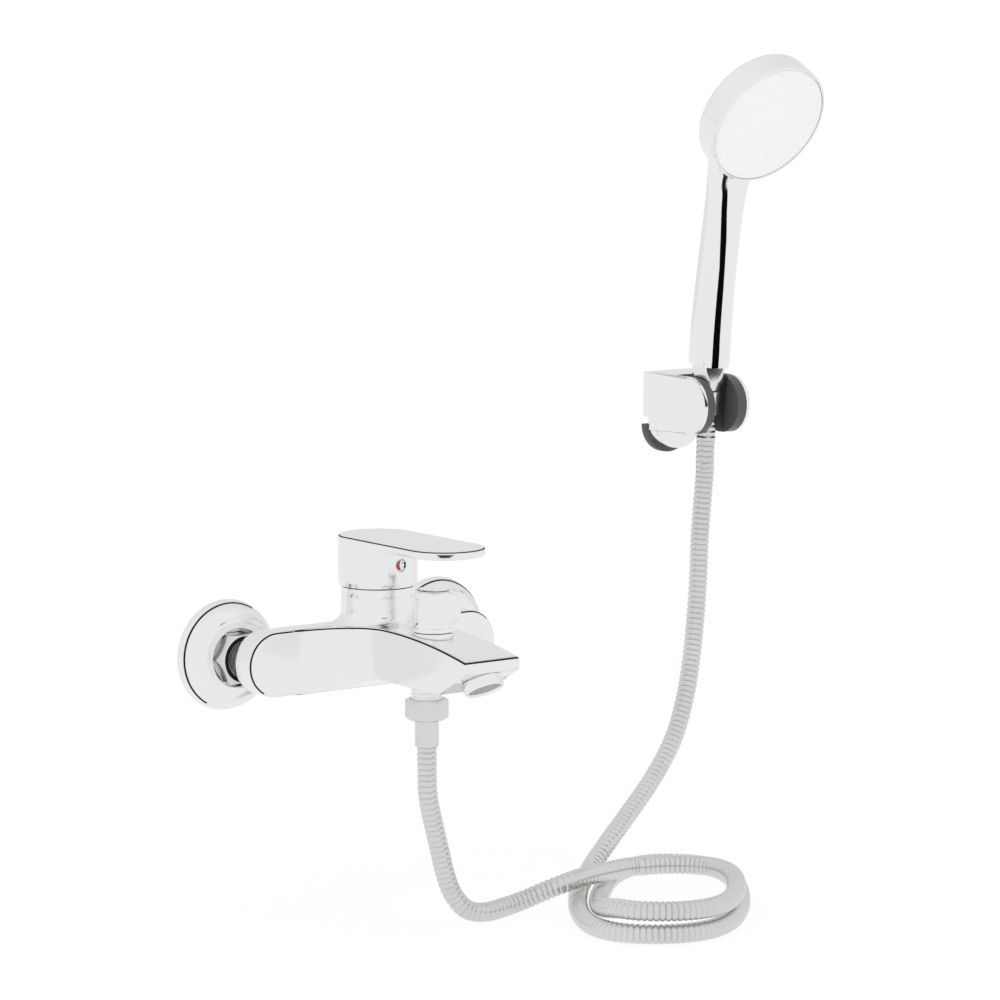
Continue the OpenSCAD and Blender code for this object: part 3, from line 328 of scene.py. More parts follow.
def copy_of(node: str, name: str, flat: float = 1.0) -> bpy.types.Object:
    """Copies a CAD node's mesh into a new piece, merged and with its flat faces made whole.

    Args:
        node: Name of the CAD node.
        name: Name of the piece.
        flat: Angle in degrees under which faces are one.

    Returns:
        The copied piece.
    """
    piece = bpy.data.objects.new(name, frame["nodes"][node].data.copy())
    bpy.context.scene.collection.objects.link(piece)
    piece.data.materials.clear()
    edit_all(piece)
    bpy.ops.mesh.customdata_custom_splitnormals_clear()
    bpy.ops.mesh.remove_doubles(threshold=0.002 * MM)
    bpy.ops.mesh.dissolve_limited(angle_limit=math.radians(flat))
    close_edit()
    return piece


def turned(at: Point3, degrees_x: float = 0.0) -> Matrix:
    """Gives a place in the part's frame.

    Args:
        at: Place in millimetres.
        degrees_x: Turn about the X axis.

    Returns:
        The matrix, in metres.
    """
    return Matrix.Translation(Vector(at) * MM) @ Matrix.Rotation(math.radians(degrees_x), 4, "X")


def arc(mid: Point2, radius: float, start: float, end: float, steps: int = 24) -> list[Point2]:
    """Gives points on an arc.

    Args:
        mid: Middle of the arc, in millimetres.
        radius: Its radius in millimetres.
        start: First angle in degrees.
        end: Last angle in degrees.
        steps: Number of steps.

    Returns:
        The points, in millimetres.
    """
    turns = [math.radians(start + (end - start) * k / steps) for k in range(steps + 1)]
    return [(mid[0] + radius * math.cos(t), mid[1] + radius * math.sin(t)) for t in turns]


def prism(name: str, outline: Sequence[Vector], rise: Vector) -> bpy.types.Object:
    """Fills a flat outline and extrudes it.

    Args:
        name: Name of the piece.
        outline: Corners of the outline, in millimetres.
        rise: Extrusion in millimetres.

    Returns:
        The closed solid.
    """
    piece = new_piece(name)
    points = [p * MM for p in outline]
    trace([*points, points[0].copy()])
    bpy.ops.mesh.select_all(action="SELECT")
    bpy.ops.mesh.remove_doubles(threshold=1e-6)
    bpy.ops.mesh.select_all(action="SELECT")
    bpy.ops.mesh.edge_face_add()
    bpy.ops.mesh.extrude_region_move(TRANSFORM_OT_translate={"value": rise * MM})
    close_edit()
    tidy_mesh(piece)
    return piece


@dataclass(frozen=True)
class Ring:
    """One section of a lofted piece.

    Attributes:
        at: Its middle, in millimetres.
        wide: Half of its width along X, in millimetres.
        deep: Half of its depth, in millimetres.
    """

    at: Point3
    wide: float
    deep: float


def loft(name: str, rings: Sequence[Ring], tilt: float, sides: int = 64) -> bpy.types.Object:
    """Extrudes a disc from section to section, scaling it on the way.

    Args:
        name: Name of the piece.
        rings: The sections in order.
        tilt: Turn of all sections about X, in degrees.
        sides: Number of sides.

    Returns:
        The closed solid.
    """
    deselect()
    first = rings[0]
    bpy.ops.mesh.primitive_circle_add(
        vertices=sides, radius=MM, fill_type="NGON", location=Vector(first.at) * MM,
        rotation=(math.radians(tilt), 0, 0)
    )
    piece = bpy.context.object
    piece.name = name
    bpy.ops.object.transform_apply(location=True, rotation=True, scale=True)
    edit_all(piece)
    bpy.ops.transform.resize(
        value=(first.wide, first.deep, first.deep), center_override=Vector(first.at) * MM,
    )
    for before, after in zip(rings, rings[1:]):
        step = (Vector(after.at) - Vector(before.at)) * MM
        bpy.ops.mesh.extrude_region_move(TRANSFORM_OT_translate={"value": step})
        grow = after.deep / before.deep
        bpy.ops.transform.resize(
            value=(after.wide / before.wide, grow, grow), center_override=Vector(after.at) * MM
        )
    close_edit()
    tidy_mesh(piece)
    smooth(piece)
    return piece


def choose_edges(piece: bpy.types.Object, test: EdgeTest, angle: float = 20.0) -> int:
    """Opens a piece in edit mode with the sharp edges selected that pass a test of their place.

    Args:
        piece: The mesh object.
        test: Gets both ends in millimetres and both faces' normals.
        angle: Angle in degrees that an edge must have.

    Returns:
        The number of edges chosen.
    """
    edit_all(piece)
    bpy.ops.mesh.select_all(action="DESELECT")
    bpy.ops.mesh.select_mode(type="EDGE")
    shape = bmesh.from_edit_mesh(piece.data)
    chosen = 0
    for edge in shape.edges:
        if len(edge.link_faces) != 2:
            continue
        one, two = (face.normal for face in edge.link_faces)
        if one.length < 0.5 or two.length < 0.5 or one.angle(two) < math.radians(angle):
            continue
        a, b = (v.co / MM for v in edge.verts)
        if test(a, b, one, two):
            edge.select_set(True)
            chosen += 1
    bmesh.update_edit_mesh(piece.data)
    return chosen


def paint_reflection_edge(
    piece: bpy.types.Object, test: EdgeTest, width: float, is_painted_dark: Callable[[Vector], bool],
) -> None:
    """Rounds chosen edges and gives the middle strip of the rounding the piece's second material, the
    painted dark reflection finish.

    Args:
        piece: The mesh object, with two material slots.
        test: Chooses the edges by their place.
        width: Width of the rounding in millimetres.
        is_painted_dark: Says by its middle, in millimetres, whether a face of the strip gets the painted
            dark reflection finish.
    """
    chosen = choose_edges(piece, test)
    if chosen:
        bpy.ops.mesh.bevel(offset=width * MM, segments=3, affect="EDGES", clamp_overlap=False)
        bpy.ops.mesh.select_mode(type="FACE")
        shape = bmesh.from_edit_mesh(piece.data)
        for face in shape.faces:
            if face.select and len(face.verts) > 4:
                face.select_set(False)
        bmesh.update_edit_mesh(piece.data)
        bpy.ops.mesh.select_less()
        for face in shape.faces:
            if face.select and not is_painted_dark(face.calc_center_median() / MM):
                face.select_set(False)
        bmesh.update_edit_mesh(piece.data)
        piece.active_material_index = 1
        bpy.ops.object.material_slot_assign()
    bpy.ops.mesh.select_mode(type="VERT")
    close_edit()
    LOG.info("%s: %d edges drawn", piece.name, chosen)


def soften(piece: bpy.types.Object, test: EdgeTest, width: float, segments: int = 3) -> None:
    """Rounds chosen edges of a piece.

    Args:
        piece: The mesh object.
        test: Chooses the edges by their place.
        width: Width of the rounding in millimetres.
        segments: Number of strips.
    """
    chosen = choose_edges(piece, test)
    if chosen:
        bpy.ops.mesh.bevel(offset=width * MM, segments=segments, affect="EDGES", clamp_overlap=False)
    bpy.ops.mesh.select_mode(type="VERT")
    close_edit()
    LOG.info("%s: %d edges rounded", piece.name, chosen)


def even_normals(piece: bpy.types.Object) -> None:
    """Lets a piece's large faces set its shading, so that they stay flat beside rounded edges.

    Args:
        piece: The mesh object.
    """
    weigh = piece.modifiers.new("large faces first", "WEIGHTED_NORMAL")
    weigh.keep_sharp = True
    weigh.weight = 80
    apply_all(piece)


def paint_faces(piece: bpy.types.Object, index: int, test: Callable[[Vector], bool]) -> None:
    """Gives the faces whose middle passes a test another of the piece's materials.

    Args:
        piece: The mesh object.
        index: Number of the material slot.
        test: Gets a face's middle in millimetres.
    """
    for face in piece.data.polygons:
        if test(face.center / MM):
            face.material_index = index


# Finishes


def noise_group() -> bpy.types.NodeTree:
    """Builds the shared group that gives a slow and a fine pattern from Object coordinates.

    Returns:
        The group with inputs Vector, Scale and Stretch and outputs Slow and Fine.
    """
    group = bpy.data.node_groups.new("Surface patterns", "ShaderNodeTree")
    face = group.interface
    face.new_socket(name="Vector", in_out="INPUT", socket_type="NodeSocketVector")
    face.new_socket(name="Scale", in_out="INPUT", socket_type="NodeSocketFloat")
    face.new_socket(name="Stretch", in_out="INPUT", socket_type="NodeSocketVector")
    face.new_socket(name="Slow", in_out="OUTPUT", socket_type="NodeSocketFloat")
    face.new_socket(name="Fine", in_out="OUTPUT", socket_type="NodeSocketFloat")
    nodes, links = group.nodes, group.links
    given = nodes.new("NodeGroupInput")
    out = nodes.new("NodeGroupOutput")
    slow = nodes.new("ShaderNodeTexNoise")
    slow.inputs["Scale"].default_value = 14.0
    slow.inputs["Detail"].default_value = 3.0
    stretched = nodes.new("ShaderNodeVectorMath")
    stretched.operation = "MULTIPLY"
    fine = nodes.new("ShaderNodeTexNoise")
    fine.inputs["Detail"].default_value = 2.0
    links.new(given.outputs["Vector"], slow.inputs["Vector"])
    links.new(given.outputs["Vector"], stretched.inputs[0])
    links.new(given.outputs["Stretch"], stretched.inputs[1])
    links.new(stretched.outputs["Vector"], fine.inputs["Vector"])
    links.new(given.outputs["Scale"], fine.inputs["Scale"])
    links.new(slow.outputs["Fac"], out.inputs["Slow"])
    links.new(fine.outputs["Fac"], out.inputs["Fine"])
    return group


@dataclass(frozen=True)
class Finish:
    """A surface finish, made as a material with slow and fine variation.

    Attributes:
        name: Name of the material.
        slot: The record's material slot that it dresses.
        color: Base colour, linear.
        tint: How far the colour varies.
        metallic: 1 for metal.
        rough: Roughness in the even parts.
        rough_spread: How far the roughness varies.
        grain: Kind of fine surface.
        bump: Depth of the fine surface in millimetres.
        scale: Scale of the fine pattern.
        stretch: Stretch of the fine pattern along X, Y and Z.
        coat: Weight of a clear coat.
        ior: Index of refraction of plastics.
    """

    name: str
    slot: str
    color: Point3
    tint: float = 0.03
    metallic: float = 0.0
    rough: float = 0.4
    rough_spread: float = 0.05
    grain: Grain = Grain.POLISHED
    bump: float = 0.0
    scale: float = 400.0
    stretch: Point3 = (1.0, 1.0, 1.0)
    coat: float = 0.0
    ior: float = 1.5

    def material(self, patterns: bpy.types.NodeTree) -> bpy.types.Material:
        """Builds the material.

        Args:
            patterns: The shared pattern group.

        Returns:
            The node material.
        """
        made = bpy.data.materials.new(self.name)
        made.use_nodes = True
        nodes, links = made.node_tree.nodes, made.node_tree.links
        shader = nodes["Principled BSDF"]
        shader.inputs["Metallic"].default_value = self.metallic
        shader.inputs["IOR"].default_value = self.ior
        shader.inputs["Coat Weight"].default_value = self.coat
        coords = nodes.new("ShaderNodeTexCoord")
        pattern = nodes.new("ShaderNodeGroup")
        pattern.node_tree = patterns
        pattern.inputs["Scale"].default_value = self.scale
        pattern.inputs["Stretch"].default_value = self.stretch
        links.new(coords.outputs["Object"], pattern.inputs["Vector"])
        shades = nodes.new("ShaderNodeValToRGB")
        shades.color_ramp.elements[0].position = 0.3
        shades.color_ramp.elements[1].position = 0.7
        shades.color_ramp.elements[0].color = (*(c * (1 - self.tint) for c in self.color), 1)
        shades.color_ramp.elements[1].color = (*(min(1.0, c * (1 + self.tint)) for c in self.color), 1)
        links.new(pattern.outputs["Slow"], shades.inputs["Fac"])
        links.new(shades.outputs["Color"], shader.inputs["Base Color"])
        roughness = nodes.new("ShaderNodeMapRange")
        roughness.inputs["From Min"].default_value = 0.3
        roughness.inputs["From Max"].default_value = 0.7
        roughness.inputs["To Min"].default_value = max(0.0, self.rough - self.rough_spread)
        roughness.inputs["To Max"].default_value = self.rough + self.rough_spread
        source = "Fine" if self.grain is Grain.BRUSHED else "Slow"
        links.new(pattern.outputs[source], roughness.inputs["Value"])
        links.new(roughness.outputs["Result"], shader.inputs["Roughness"])
        if self.bump > 0:
            bump = nodes.new("ShaderNodeBump")
            bump.inputs["Strength"].default_value = 0.6
            bump.inputs["Distance"].default_value = self.bump * MM
            links.new(pattern.outputs["Fine"], bump.inputs["Height"])
            links.new(bump.outputs["Normal"], shader.inputs["Normal"])
        return made


FINISHES: tuple[Finish, ...] = (
    Finish(
        "Bright chrome", "bright_chrome", (0.93, 0.93, 0.935), tint=0.01, metallic=1.0, rough=0.14,
        rough_spread=0.02,
    ),
    Finish(
        "Chromed plastic", "chromed_plastic", (0.93, 0.93, 0.935), tint=0.01, metallic=1.0, rough=0.06,
        rough_spread=0.01,
    ),
    Finish(
        "Satin chrome", "satin_chrome", (0.8, 0.785, 0.79), tint=0.04, metallic=1.0, rough=0.3,
        rough_spread=0.08, grain=Grain.BRUSHED, bump=0.004, scale=260.0, stretch=(6.0, 6.0, 0.4),
    ),
    Finish(
        "Ribbed hose metal", "ribbed_metal", (0.74, 0.73, 0.72), tint=0.05, metallic=1.0, rough=0.2,
        rough_spread=0.07, grain=Grain.BRUSHED, bump=0.006, scale=500.0,
    ),
    Finish(
        "Turned metal", "plain_metal", (0.66, 0.65, 0.63), tint=0.04, metallic=1.0, rough=0.32,
        rough_spread=0.08, grain=Grain.BRUSHED, bump=0.01, scale=300.0, stretch=(4.0, 4.0, 0.5),
    ),
    Finish(
        "Machined brass", "brass", (0.68, 0.52, 0.26), tint=0.05, metallic=1.0, rough=0.3,
        rough_spread=0.08, grain=Grain.BRUSHED, bump=0.01, scale=300.0, stretch=(4.0, 4.0, 0.5),
    ),
    Finish(
        "Black rubber", "black_rubber", (0.03, 0.03, 0.031), tint=0.2, rough=0.6, rough_spread=0.08,
        grain=Grain.MOULDED, bump=0.02, scale=900.0,
    ),
    Finish(
        "Cartridge plastic", "cartridge_plastic", (0.72, 0.72, 0.69), tint=0.03, rough=0.45,
        rough_spread=0.05, grain=Grain.MOULDED, bump=0.015, scale=1200.0,
    ),
    Finish("Lapped ceramic", "ceramic", (0.86, 0.85, 0.8), tint=0.02, rough=0.18, rough_spread=0.04),
    Finish("Red index", "red_index", (0.5, 0.03, 0.02), tint=0.05, rough=0.25, rough_spread=0.04, coat=0.5),
    Finish(
        "Dark moulded plastic", "dark_plastic", (0.075, 0.075, 0.079), tint=0.08, rough=0.38,
        rough_spread=0.06, grain=Grain.MOULDED, bump=0.02, scale=1500.0,
    ),
    Finish(
        "White moulded plastic", "white_plastic", (0.95, 0.95, 0.95), tint=0.01, rough=0.32,
        rough_spread=0.04, grain=Grain.MOULDED, bump=0.008, scale=1500.0,
    ),
    Finish(
        "Pale silicone", "nozzle_silicone", (0.98, 0.98, 0.98), tint=0.01, rough=0.5, rough_spread=0.05,
        grain=Grain.MOULDED, bump=0.01, scale=1500.0,
    ),
)

VARIANTS: tuple[Finish, ...] = (
    # Painted dark reflection and painted shade: a near-black matt finish laid on strips of chrome edges and
    # on faces by gaps, standing in for dark reflections and shade.
    Finish("Painted dark reflection line", "edge", (0.012, 0.012, 0.013), tint=0.1, rough=0.5, rough_spread=0.05, ior=1.15),
    Finish(
        "Mirror chrome", "mirror", (0.92, 0.92, 0.925), tint=0.01, metallic=1.0, rough=0.05,
        rough_spread=0.015,
    ),
    Finish(
        "Soft chrome", "soft", (0.72, 0.72, 0.74), tint=0.02, metallic=0.7, rough=0.16,
        rough_spread=0.02,
    ),
    Finish("Pale chrome", "pale", (0.9, 0.89, 0.9), tint=0.01, metallic=1.0, rough=0.25, rough_spread=0.03),
    Finish("Screen plastic", "screen", (0.5, 0.5, 0.51), tint=0.05, rough=0.45, rough_spread=0.05),
)


class Dresser:
    """Holds the finished materials and puts pieces on their bodies."""

    def __init__(self, finishes: Iterable[Finish]) -> None:
        """Builds every finish once.

        Args:
            finishes: The finishes of the part.
        """
        patterns = noise_group()
        self.materials: dict[str, bpy.types.Material] = {f.slot: f.material(patterns) for f in finishes}
        self.variants: dict[str, bpy.types.Material] = {f.slot: f.material(patterns) for f in VARIANTS}

    def dress(self, piece: bpy.types.Object, body: Body, slot: str, *nodes: str) -> bpy.types.Object:
        """Gives a piece its finish, its body and the CAD nodes that it stands for.

        Args:
            piece: The finished mesh object.
            body: The body that it rides on.
            slot: The record's material slot.
            nodes: The CAD nodes that it replaces.

        Returns:
            The same piece.
        """
        self.paint(piece, slot)
        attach(piece, body.value)
        if nodes:
            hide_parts(*nodes)
        LOG.info("%s rides on %s", piece.name, body.value)
        return piece

    def paint(self, piece: bpy.types.Object, slot: str) -> None:
        """Gives a piece its finish.

        Args:
            piece: The mesh object.
            slot: The record's material slot.
        """
        piece.data.materials.clear()
        piece.data.materials.append(self.materials[slot])

    def add_painted_reflection_and_shade(self, piece: bpy.types.Object) -> None:
        """Gives a piece the near-black finish of painted dark reflection lines and painted shade as a
        further material.
        """
        piece.data.materials.append(self.variants["edge"])

    def vary(self, piece: bpy.types.Object, variant: str) -> None:
        """Gives a dressed piece a variant of its finish."""
        piece.data.materials[0] = self.variants[variant]

    def coat(self, piece: bpy.types.Object, slot: str) -> None:
        """Gives a solid that will be joined to a piece the same two materials, the second being the painted
        dark reflection finish.

        Args:
            piece: The mesh object.
            slot: The record's material slot.
        """
        piece.data.materials.clear()
        piece.data.materials.append(self.materials[slot])
        self.add_painted_reflection_and_shade(piece)

    def paint_nodes(self) -> None:
        """Gives every CAD node the finish of its slot in the record."""
        for part in frame["record"]["subparts"]:
            node = frame["nodes"].get(part["node"])
            if node is None:
                continue
            node.data.materials.clear()
            node.data.materials.append(self.materials[part["material_slot"]])


# Camera, light and room


@dataclass
class Studio:
    """The camera at the photograph's place, the pale floor and the soft light."""

    camera_at: Point3 = (-1308.62, -1950.11, 391.86)
    camera_turn: float = -36.3075
    camera_dip: float = 7.4525
    lens: float = 144.0
    sensor: float = 36.0
    clip_start: float = 0.05
    floor_z: float = -156.2
    fill: float = 0.78
    near_white: float = 0.88
    far_grey: float = 0.78
    grey_span: Point2 = (-0.3, 0.95)
    floor_size: float = 12.0
    floor_rough: float = 0.9
    floor_share: float = 0.93
    floor_fade: Point2 = (500.0, 1100.0)
    floor_mirrored: float = 0.88
    lamp_aim: Point3 = (0.1, -0.1, 0.0)
    left_lamp_at: Point3 = (-1.6, -1.0, 1.5)
    left_lamp_size: Point2 = (1.4, 1.4)
    left_lamp_watts: float = 12.0
    top_lamp_at: Point3 = (0.3, -0.6, 2.2)
    top_lamp_size: Point2 = (1.6, 1.2)
    top_lamp_watts: float = 10.0
    flag_shade: float = 0.003
    flag_left: tuple[Point3, ...] = (
        (231, -89, 130), (230, -94, 190), (229, -95, 203), (220, -92, 220), (210, -82, 245), (206, -68, 254),
    )
    flag_right: tuple[Point3, ...] = (
        (264, -91, 130), (258, -97, 190), (254, -100, 203), (247, -102, 218), (226, -98, 244),
        (209, -75, 254),
    )
    paddle_shade: float = 0.02
    paddle_left: tuple[Point3, ...] = ((-44, -159, 60), (-49, -150, 71))
    paddle_right: tuple[Point3, ...] = ((-26, -173, 60), (-12, -177, 71))

    def camera(self) -> None:
        """Makes the camera."""
        data = bpy.data.cameras.new("Photo camera")
        data.lens = self.lens
        data.sensor_width = self.sensor
        data.clip_start = self.clip_start
        camera = bpy.data.objects.new("Photo camera", data)
        camera.location = Vector(self.camera_at) * MM
        camera.rotation_euler = (math.radians(90 - self.camera_dip), 0, math.radians(self.camera_turn))
        bpy.context.scene.collection.objects.link(camera)
        bpy.context.scene.camera = camera

    def world(self) -> None:
        """Makes a pale world: plain light, white to the camera, greyer behind the part in reflections."""
        world = bpy.data.worlds.new("Pale studio")
        bpy.context.scene.world = world
        world.use_nodes = True
        nodes, links = world.node_tree.nodes, world.node_tree.links
        soft = nodes["Background"]
        soft.inputs["Color"].default_value = (1, 1, 1, 1)
        soft.inputs["Strength"].default_value = self.fill
        white = nodes.new("ShaderNodeBackground")
        white.inputs["Color"].default_value = (1, 1, 1, 1)
        mirrored = nodes.new("ShaderNodeBackground")
        coords = nodes.new("ShaderNodeTexCoord")
        depth = nodes.new("ShaderNodeVectorMath")
        depth.operation = "DOT_PRODUCT"
        turn = math.radians(self.camera_turn)
        depth.inputs[1].default_value = (-math.sin(turn), math.cos(turn), 0)
        shade = nodes.new("ShaderNodeMapRange")
        shade.interpolation_type = "SMOOTHSTEP"
        shade.inputs["From Min"].default_value = self.grey_span[0]
        shade.inputs["From Max"].default_value = self.grey_span[1]
        shade.inputs["To Min"].default_value = self.near_white
        shade.inputs["To Max"].default_value = self.far_grey
        links.new(coords.outputs["Generated"], depth.inputs[0])
        links.new(depth.outputs["Value"], shade.inputs["Value"])
        links.new(shade.outputs["Result"], mirrored.inputs["Color"])
        path = nodes.new("ShaderNodeLightPath")
        seen = nodes.new("ShaderNodeMath")
        seen.operation = "MAXIMUM"
        links.new(path.outputs["Is Camera Ray"], seen.inputs[0])
        links.new(path.outputs["Is Transmission Ray"], seen.inputs[1])
        shiny = nodes.new("ShaderNodeMixShader")
        links.new(path.outputs["Is Glossy Ray"], shiny.inputs["Fac"])
        links.new(soft.outputs["Background"], shiny.inputs[1])
        links.new(mirrored.outputs["Background"], shiny.inputs[2])
        plain = nodes.new("ShaderNodeMixShader")
        links.new(seen.outputs["Value"], plain.inputs["Fac"])
        links.new(shiny.outputs["Shader"], plain.inputs[1])
        links.new(white.outputs["Background"], plain.inputs[2])
        links.new(plain.outputs["Shader"], nodes["World Output"].inputs["Surface"])

    def floor(self) -> None:
        """Makes the pale floor that fades into the white background."""
        deselect()
        bpy.ops.mesh.primitive_plane_add(size=self.floor_size, location=(0, 0, self.floor_z * MM))
        floor = bpy.context.object
        floor.name = "Floor"
        made = bpy.data.materials.new("Pale floor")
        made.use_nodes = True
        nodes, links = made.node_tree.nodes, made.node_tree.links
        shader = nodes["Principled BSDF"]
        shader.inputs["Base Color"].default_value = (1, 1, 1, 1)
        shader.inputs["Roughness"].default_value = self.floor_rough
        shader.inputs["Specular IOR Level"].default_value = 0.0
        white = nodes.new("ShaderNodeEmission")
        path = nodes.new("ShaderNodeLightPath")
        level = nodes.new("ShaderNodeMapRange")
        level.inputs["To Min"].default_value = self.floor_mirrored
        level.inputs["To Max"].default_value = 1.0
        links.new(path.outputs["Is Camera Ray"], level.inputs["Value"])
        links.new(level.outputs["Result"], white.inputs["Strength"])
        mix = nodes.new("ShaderNodeMixShader")
        seen = nodes.new("ShaderNodeMath")
        seen.operation = "MAXIMUM"
        coords = nodes.new("ShaderNodeTexCoord")
        away = nodes.new("ShaderNodeVectorMath")
        away.operation = "LENGTH"
        links.new(coords.outputs["Object"], away.inputs[0])
        share = nodes.new("ShaderNodeMapRange")
        share.inputs["From Min"].default_value = self.floor_fade[0] * MM
        share.inputs["From Max"].default_value = self.floor_fade[1] * MM
        share.inputs["To Min"].default_value = self.floor_share
        share.inputs["To Max"].default_value = 1.0
        links.new(away.outputs["Value"], share.inputs["Value"])
        part = nodes.new("ShaderNodeMath")
        part.operation = "MULTIPLY"
        links.new(share.outputs["Result"], part.inputs[1])
        links.new(path.outputs["Is Camera Ray"], seen.inputs[0])
        links.new(path.outputs["Is Glossy Ray"], seen.inputs[1])
        links.new(seen.outputs["Value"], part.inputs[0])
        links.new(part.outputs["Value"], mix.inputs["Fac"])
        links.new(shader.outputs["BSDF"], mix.inputs[1])
        links.new(white.outputs["Emission"], mix.inputs[2])
        links.new(mix.outputs["Shader"], nodes["Material Output"].inputs["Surface"])
        floor.data.materials.append(made)

    def lamp(self, name: str, at: Point3, aim: Point3, size: Point2, watts: float) -> None:
        """Adds a soft rectangular lamp.

        Args:
            name: Name of the lamp.
            at: Place in metres.
            aim: Point in metres that it faces.
            size: Width and height in metres.
            watts: Power.
        """
        data = bpy.data.lights.new(name, "AREA")
        data.shape = "RECTANGLE"
        data.size, data.size_y = size
        data.energy = watts
        lamp = bpy.data.objects.new(name, data)
        lamp.location = at
        lamp.visible_glossy = False
        lamp.rotation_euler = (Vector(aim) - Vector(at)).to_track_quat("-Z", "Y").to_euler()
        bpy.context.scene.collection.objects.link(lamp)

    def flag(self, name: str, sides: Sequence[Sequence[Point3]], shade: float) -> None:
        """Adds a bent dark card that only reflections show, as photographers use to draw chrome.

        Args:
            name: Name of the card.
            sides: Its two long sides, each from the bottom up, in millimetres.
            shade: Its grey, from 0.
        """
        card = new_piece(name)
        trace([Vector(p) * MM for p in sides[0]])
        other = new_piece(name + "_side")
        trace([Vector(p) * MM for p in sides[1]])
        pick(card)
        other.select_set(True)
        bpy.ops.object.join()
        edit_all(card)
        bpy.ops.mesh.bridge_edge_loops()
        close_edit()
        made = bpy.data.materials.new(name)
        made.use_nodes = True
        nodes = made.node_tree.nodes
        glow = nodes.new("ShaderNodeEmission")
        glow.inputs["Color"].default_value = (shade, shade, shade, 1)
        made.node_tree.links.new(glow.outputs["Emission"], nodes["Material Output"].inputs["Surface"])
        card.data.materials.append(made)
        card.visible_camera = False
        card.visible_diffuse = False
        card.visible_shadow = False
        card.visible_transmission = False

    def build(self) -> None:
        """Builds the whole studio."""
        bpy.context.scene.view_settings.view_transform = "Standard"
        self.camera()
        self.world()
        self.floor()
        self.lamp(
            "Left softbox", self.left_lamp_at, self.lamp_aim, self.left_lamp_size, self.left_lamp_watts,
        )
        self.lamp("Top softbox", self.top_lamp_at, self.lamp_aim, self.top_lamp_size, self.top_lamp_watts)
        self.flag("Handle flag", (self.flag_left, self.flag_right), self.flag_shade)
        self.flag("Paddle flag", (self.paddle_left, self.paddle_right), self.paddle_shade)


# Smooth lines


class Spline:
    """A smooth line through points, as the part's source draws it."""

    def __init__(self, points: Sequence[Vector]) -> None:
        """Keeps the points that the line goes through."""
        self.points = list(points)

    def at(self, u: float) -> Vector:
        """Gives the place at parameter u, which counts whole points.

        Args:
            u: Parameter along the line.

        Returns:
            The place, in millimetres.
        """
        p, n = self.points, len(self.points)
        i = min(int(u), n - 2)
        t = u - i
        b, c = p[i], p[i + 1]
        a = p[i - 1] if i > 0 else 2 * p[0] - p[1]
        d = p[i + 2] if i + 2 < n else 2 * p[n - 1] - p[n - 2]
        bent = t * t * (2 * a - 5 * b + 4 * c - d) / 2
        twisted = t ** 3 * (3 * b - a - 3 * c + d) / 2
        return b + t * (c - a) / 2 + bent + twisted

    def run(self, start: float, end: float, count: int) -> list[Vector]:
        """Gives places from one parameter to another.

        Args:
            start: First parameter.
            end: Last parameter.
            count: Number of steps.

        Returns:
            The places, in millimetres.
        """
        return [self.at(start + (end - start) * k / count) for k in range(count + 1)]


# Wall flanges and union nuts


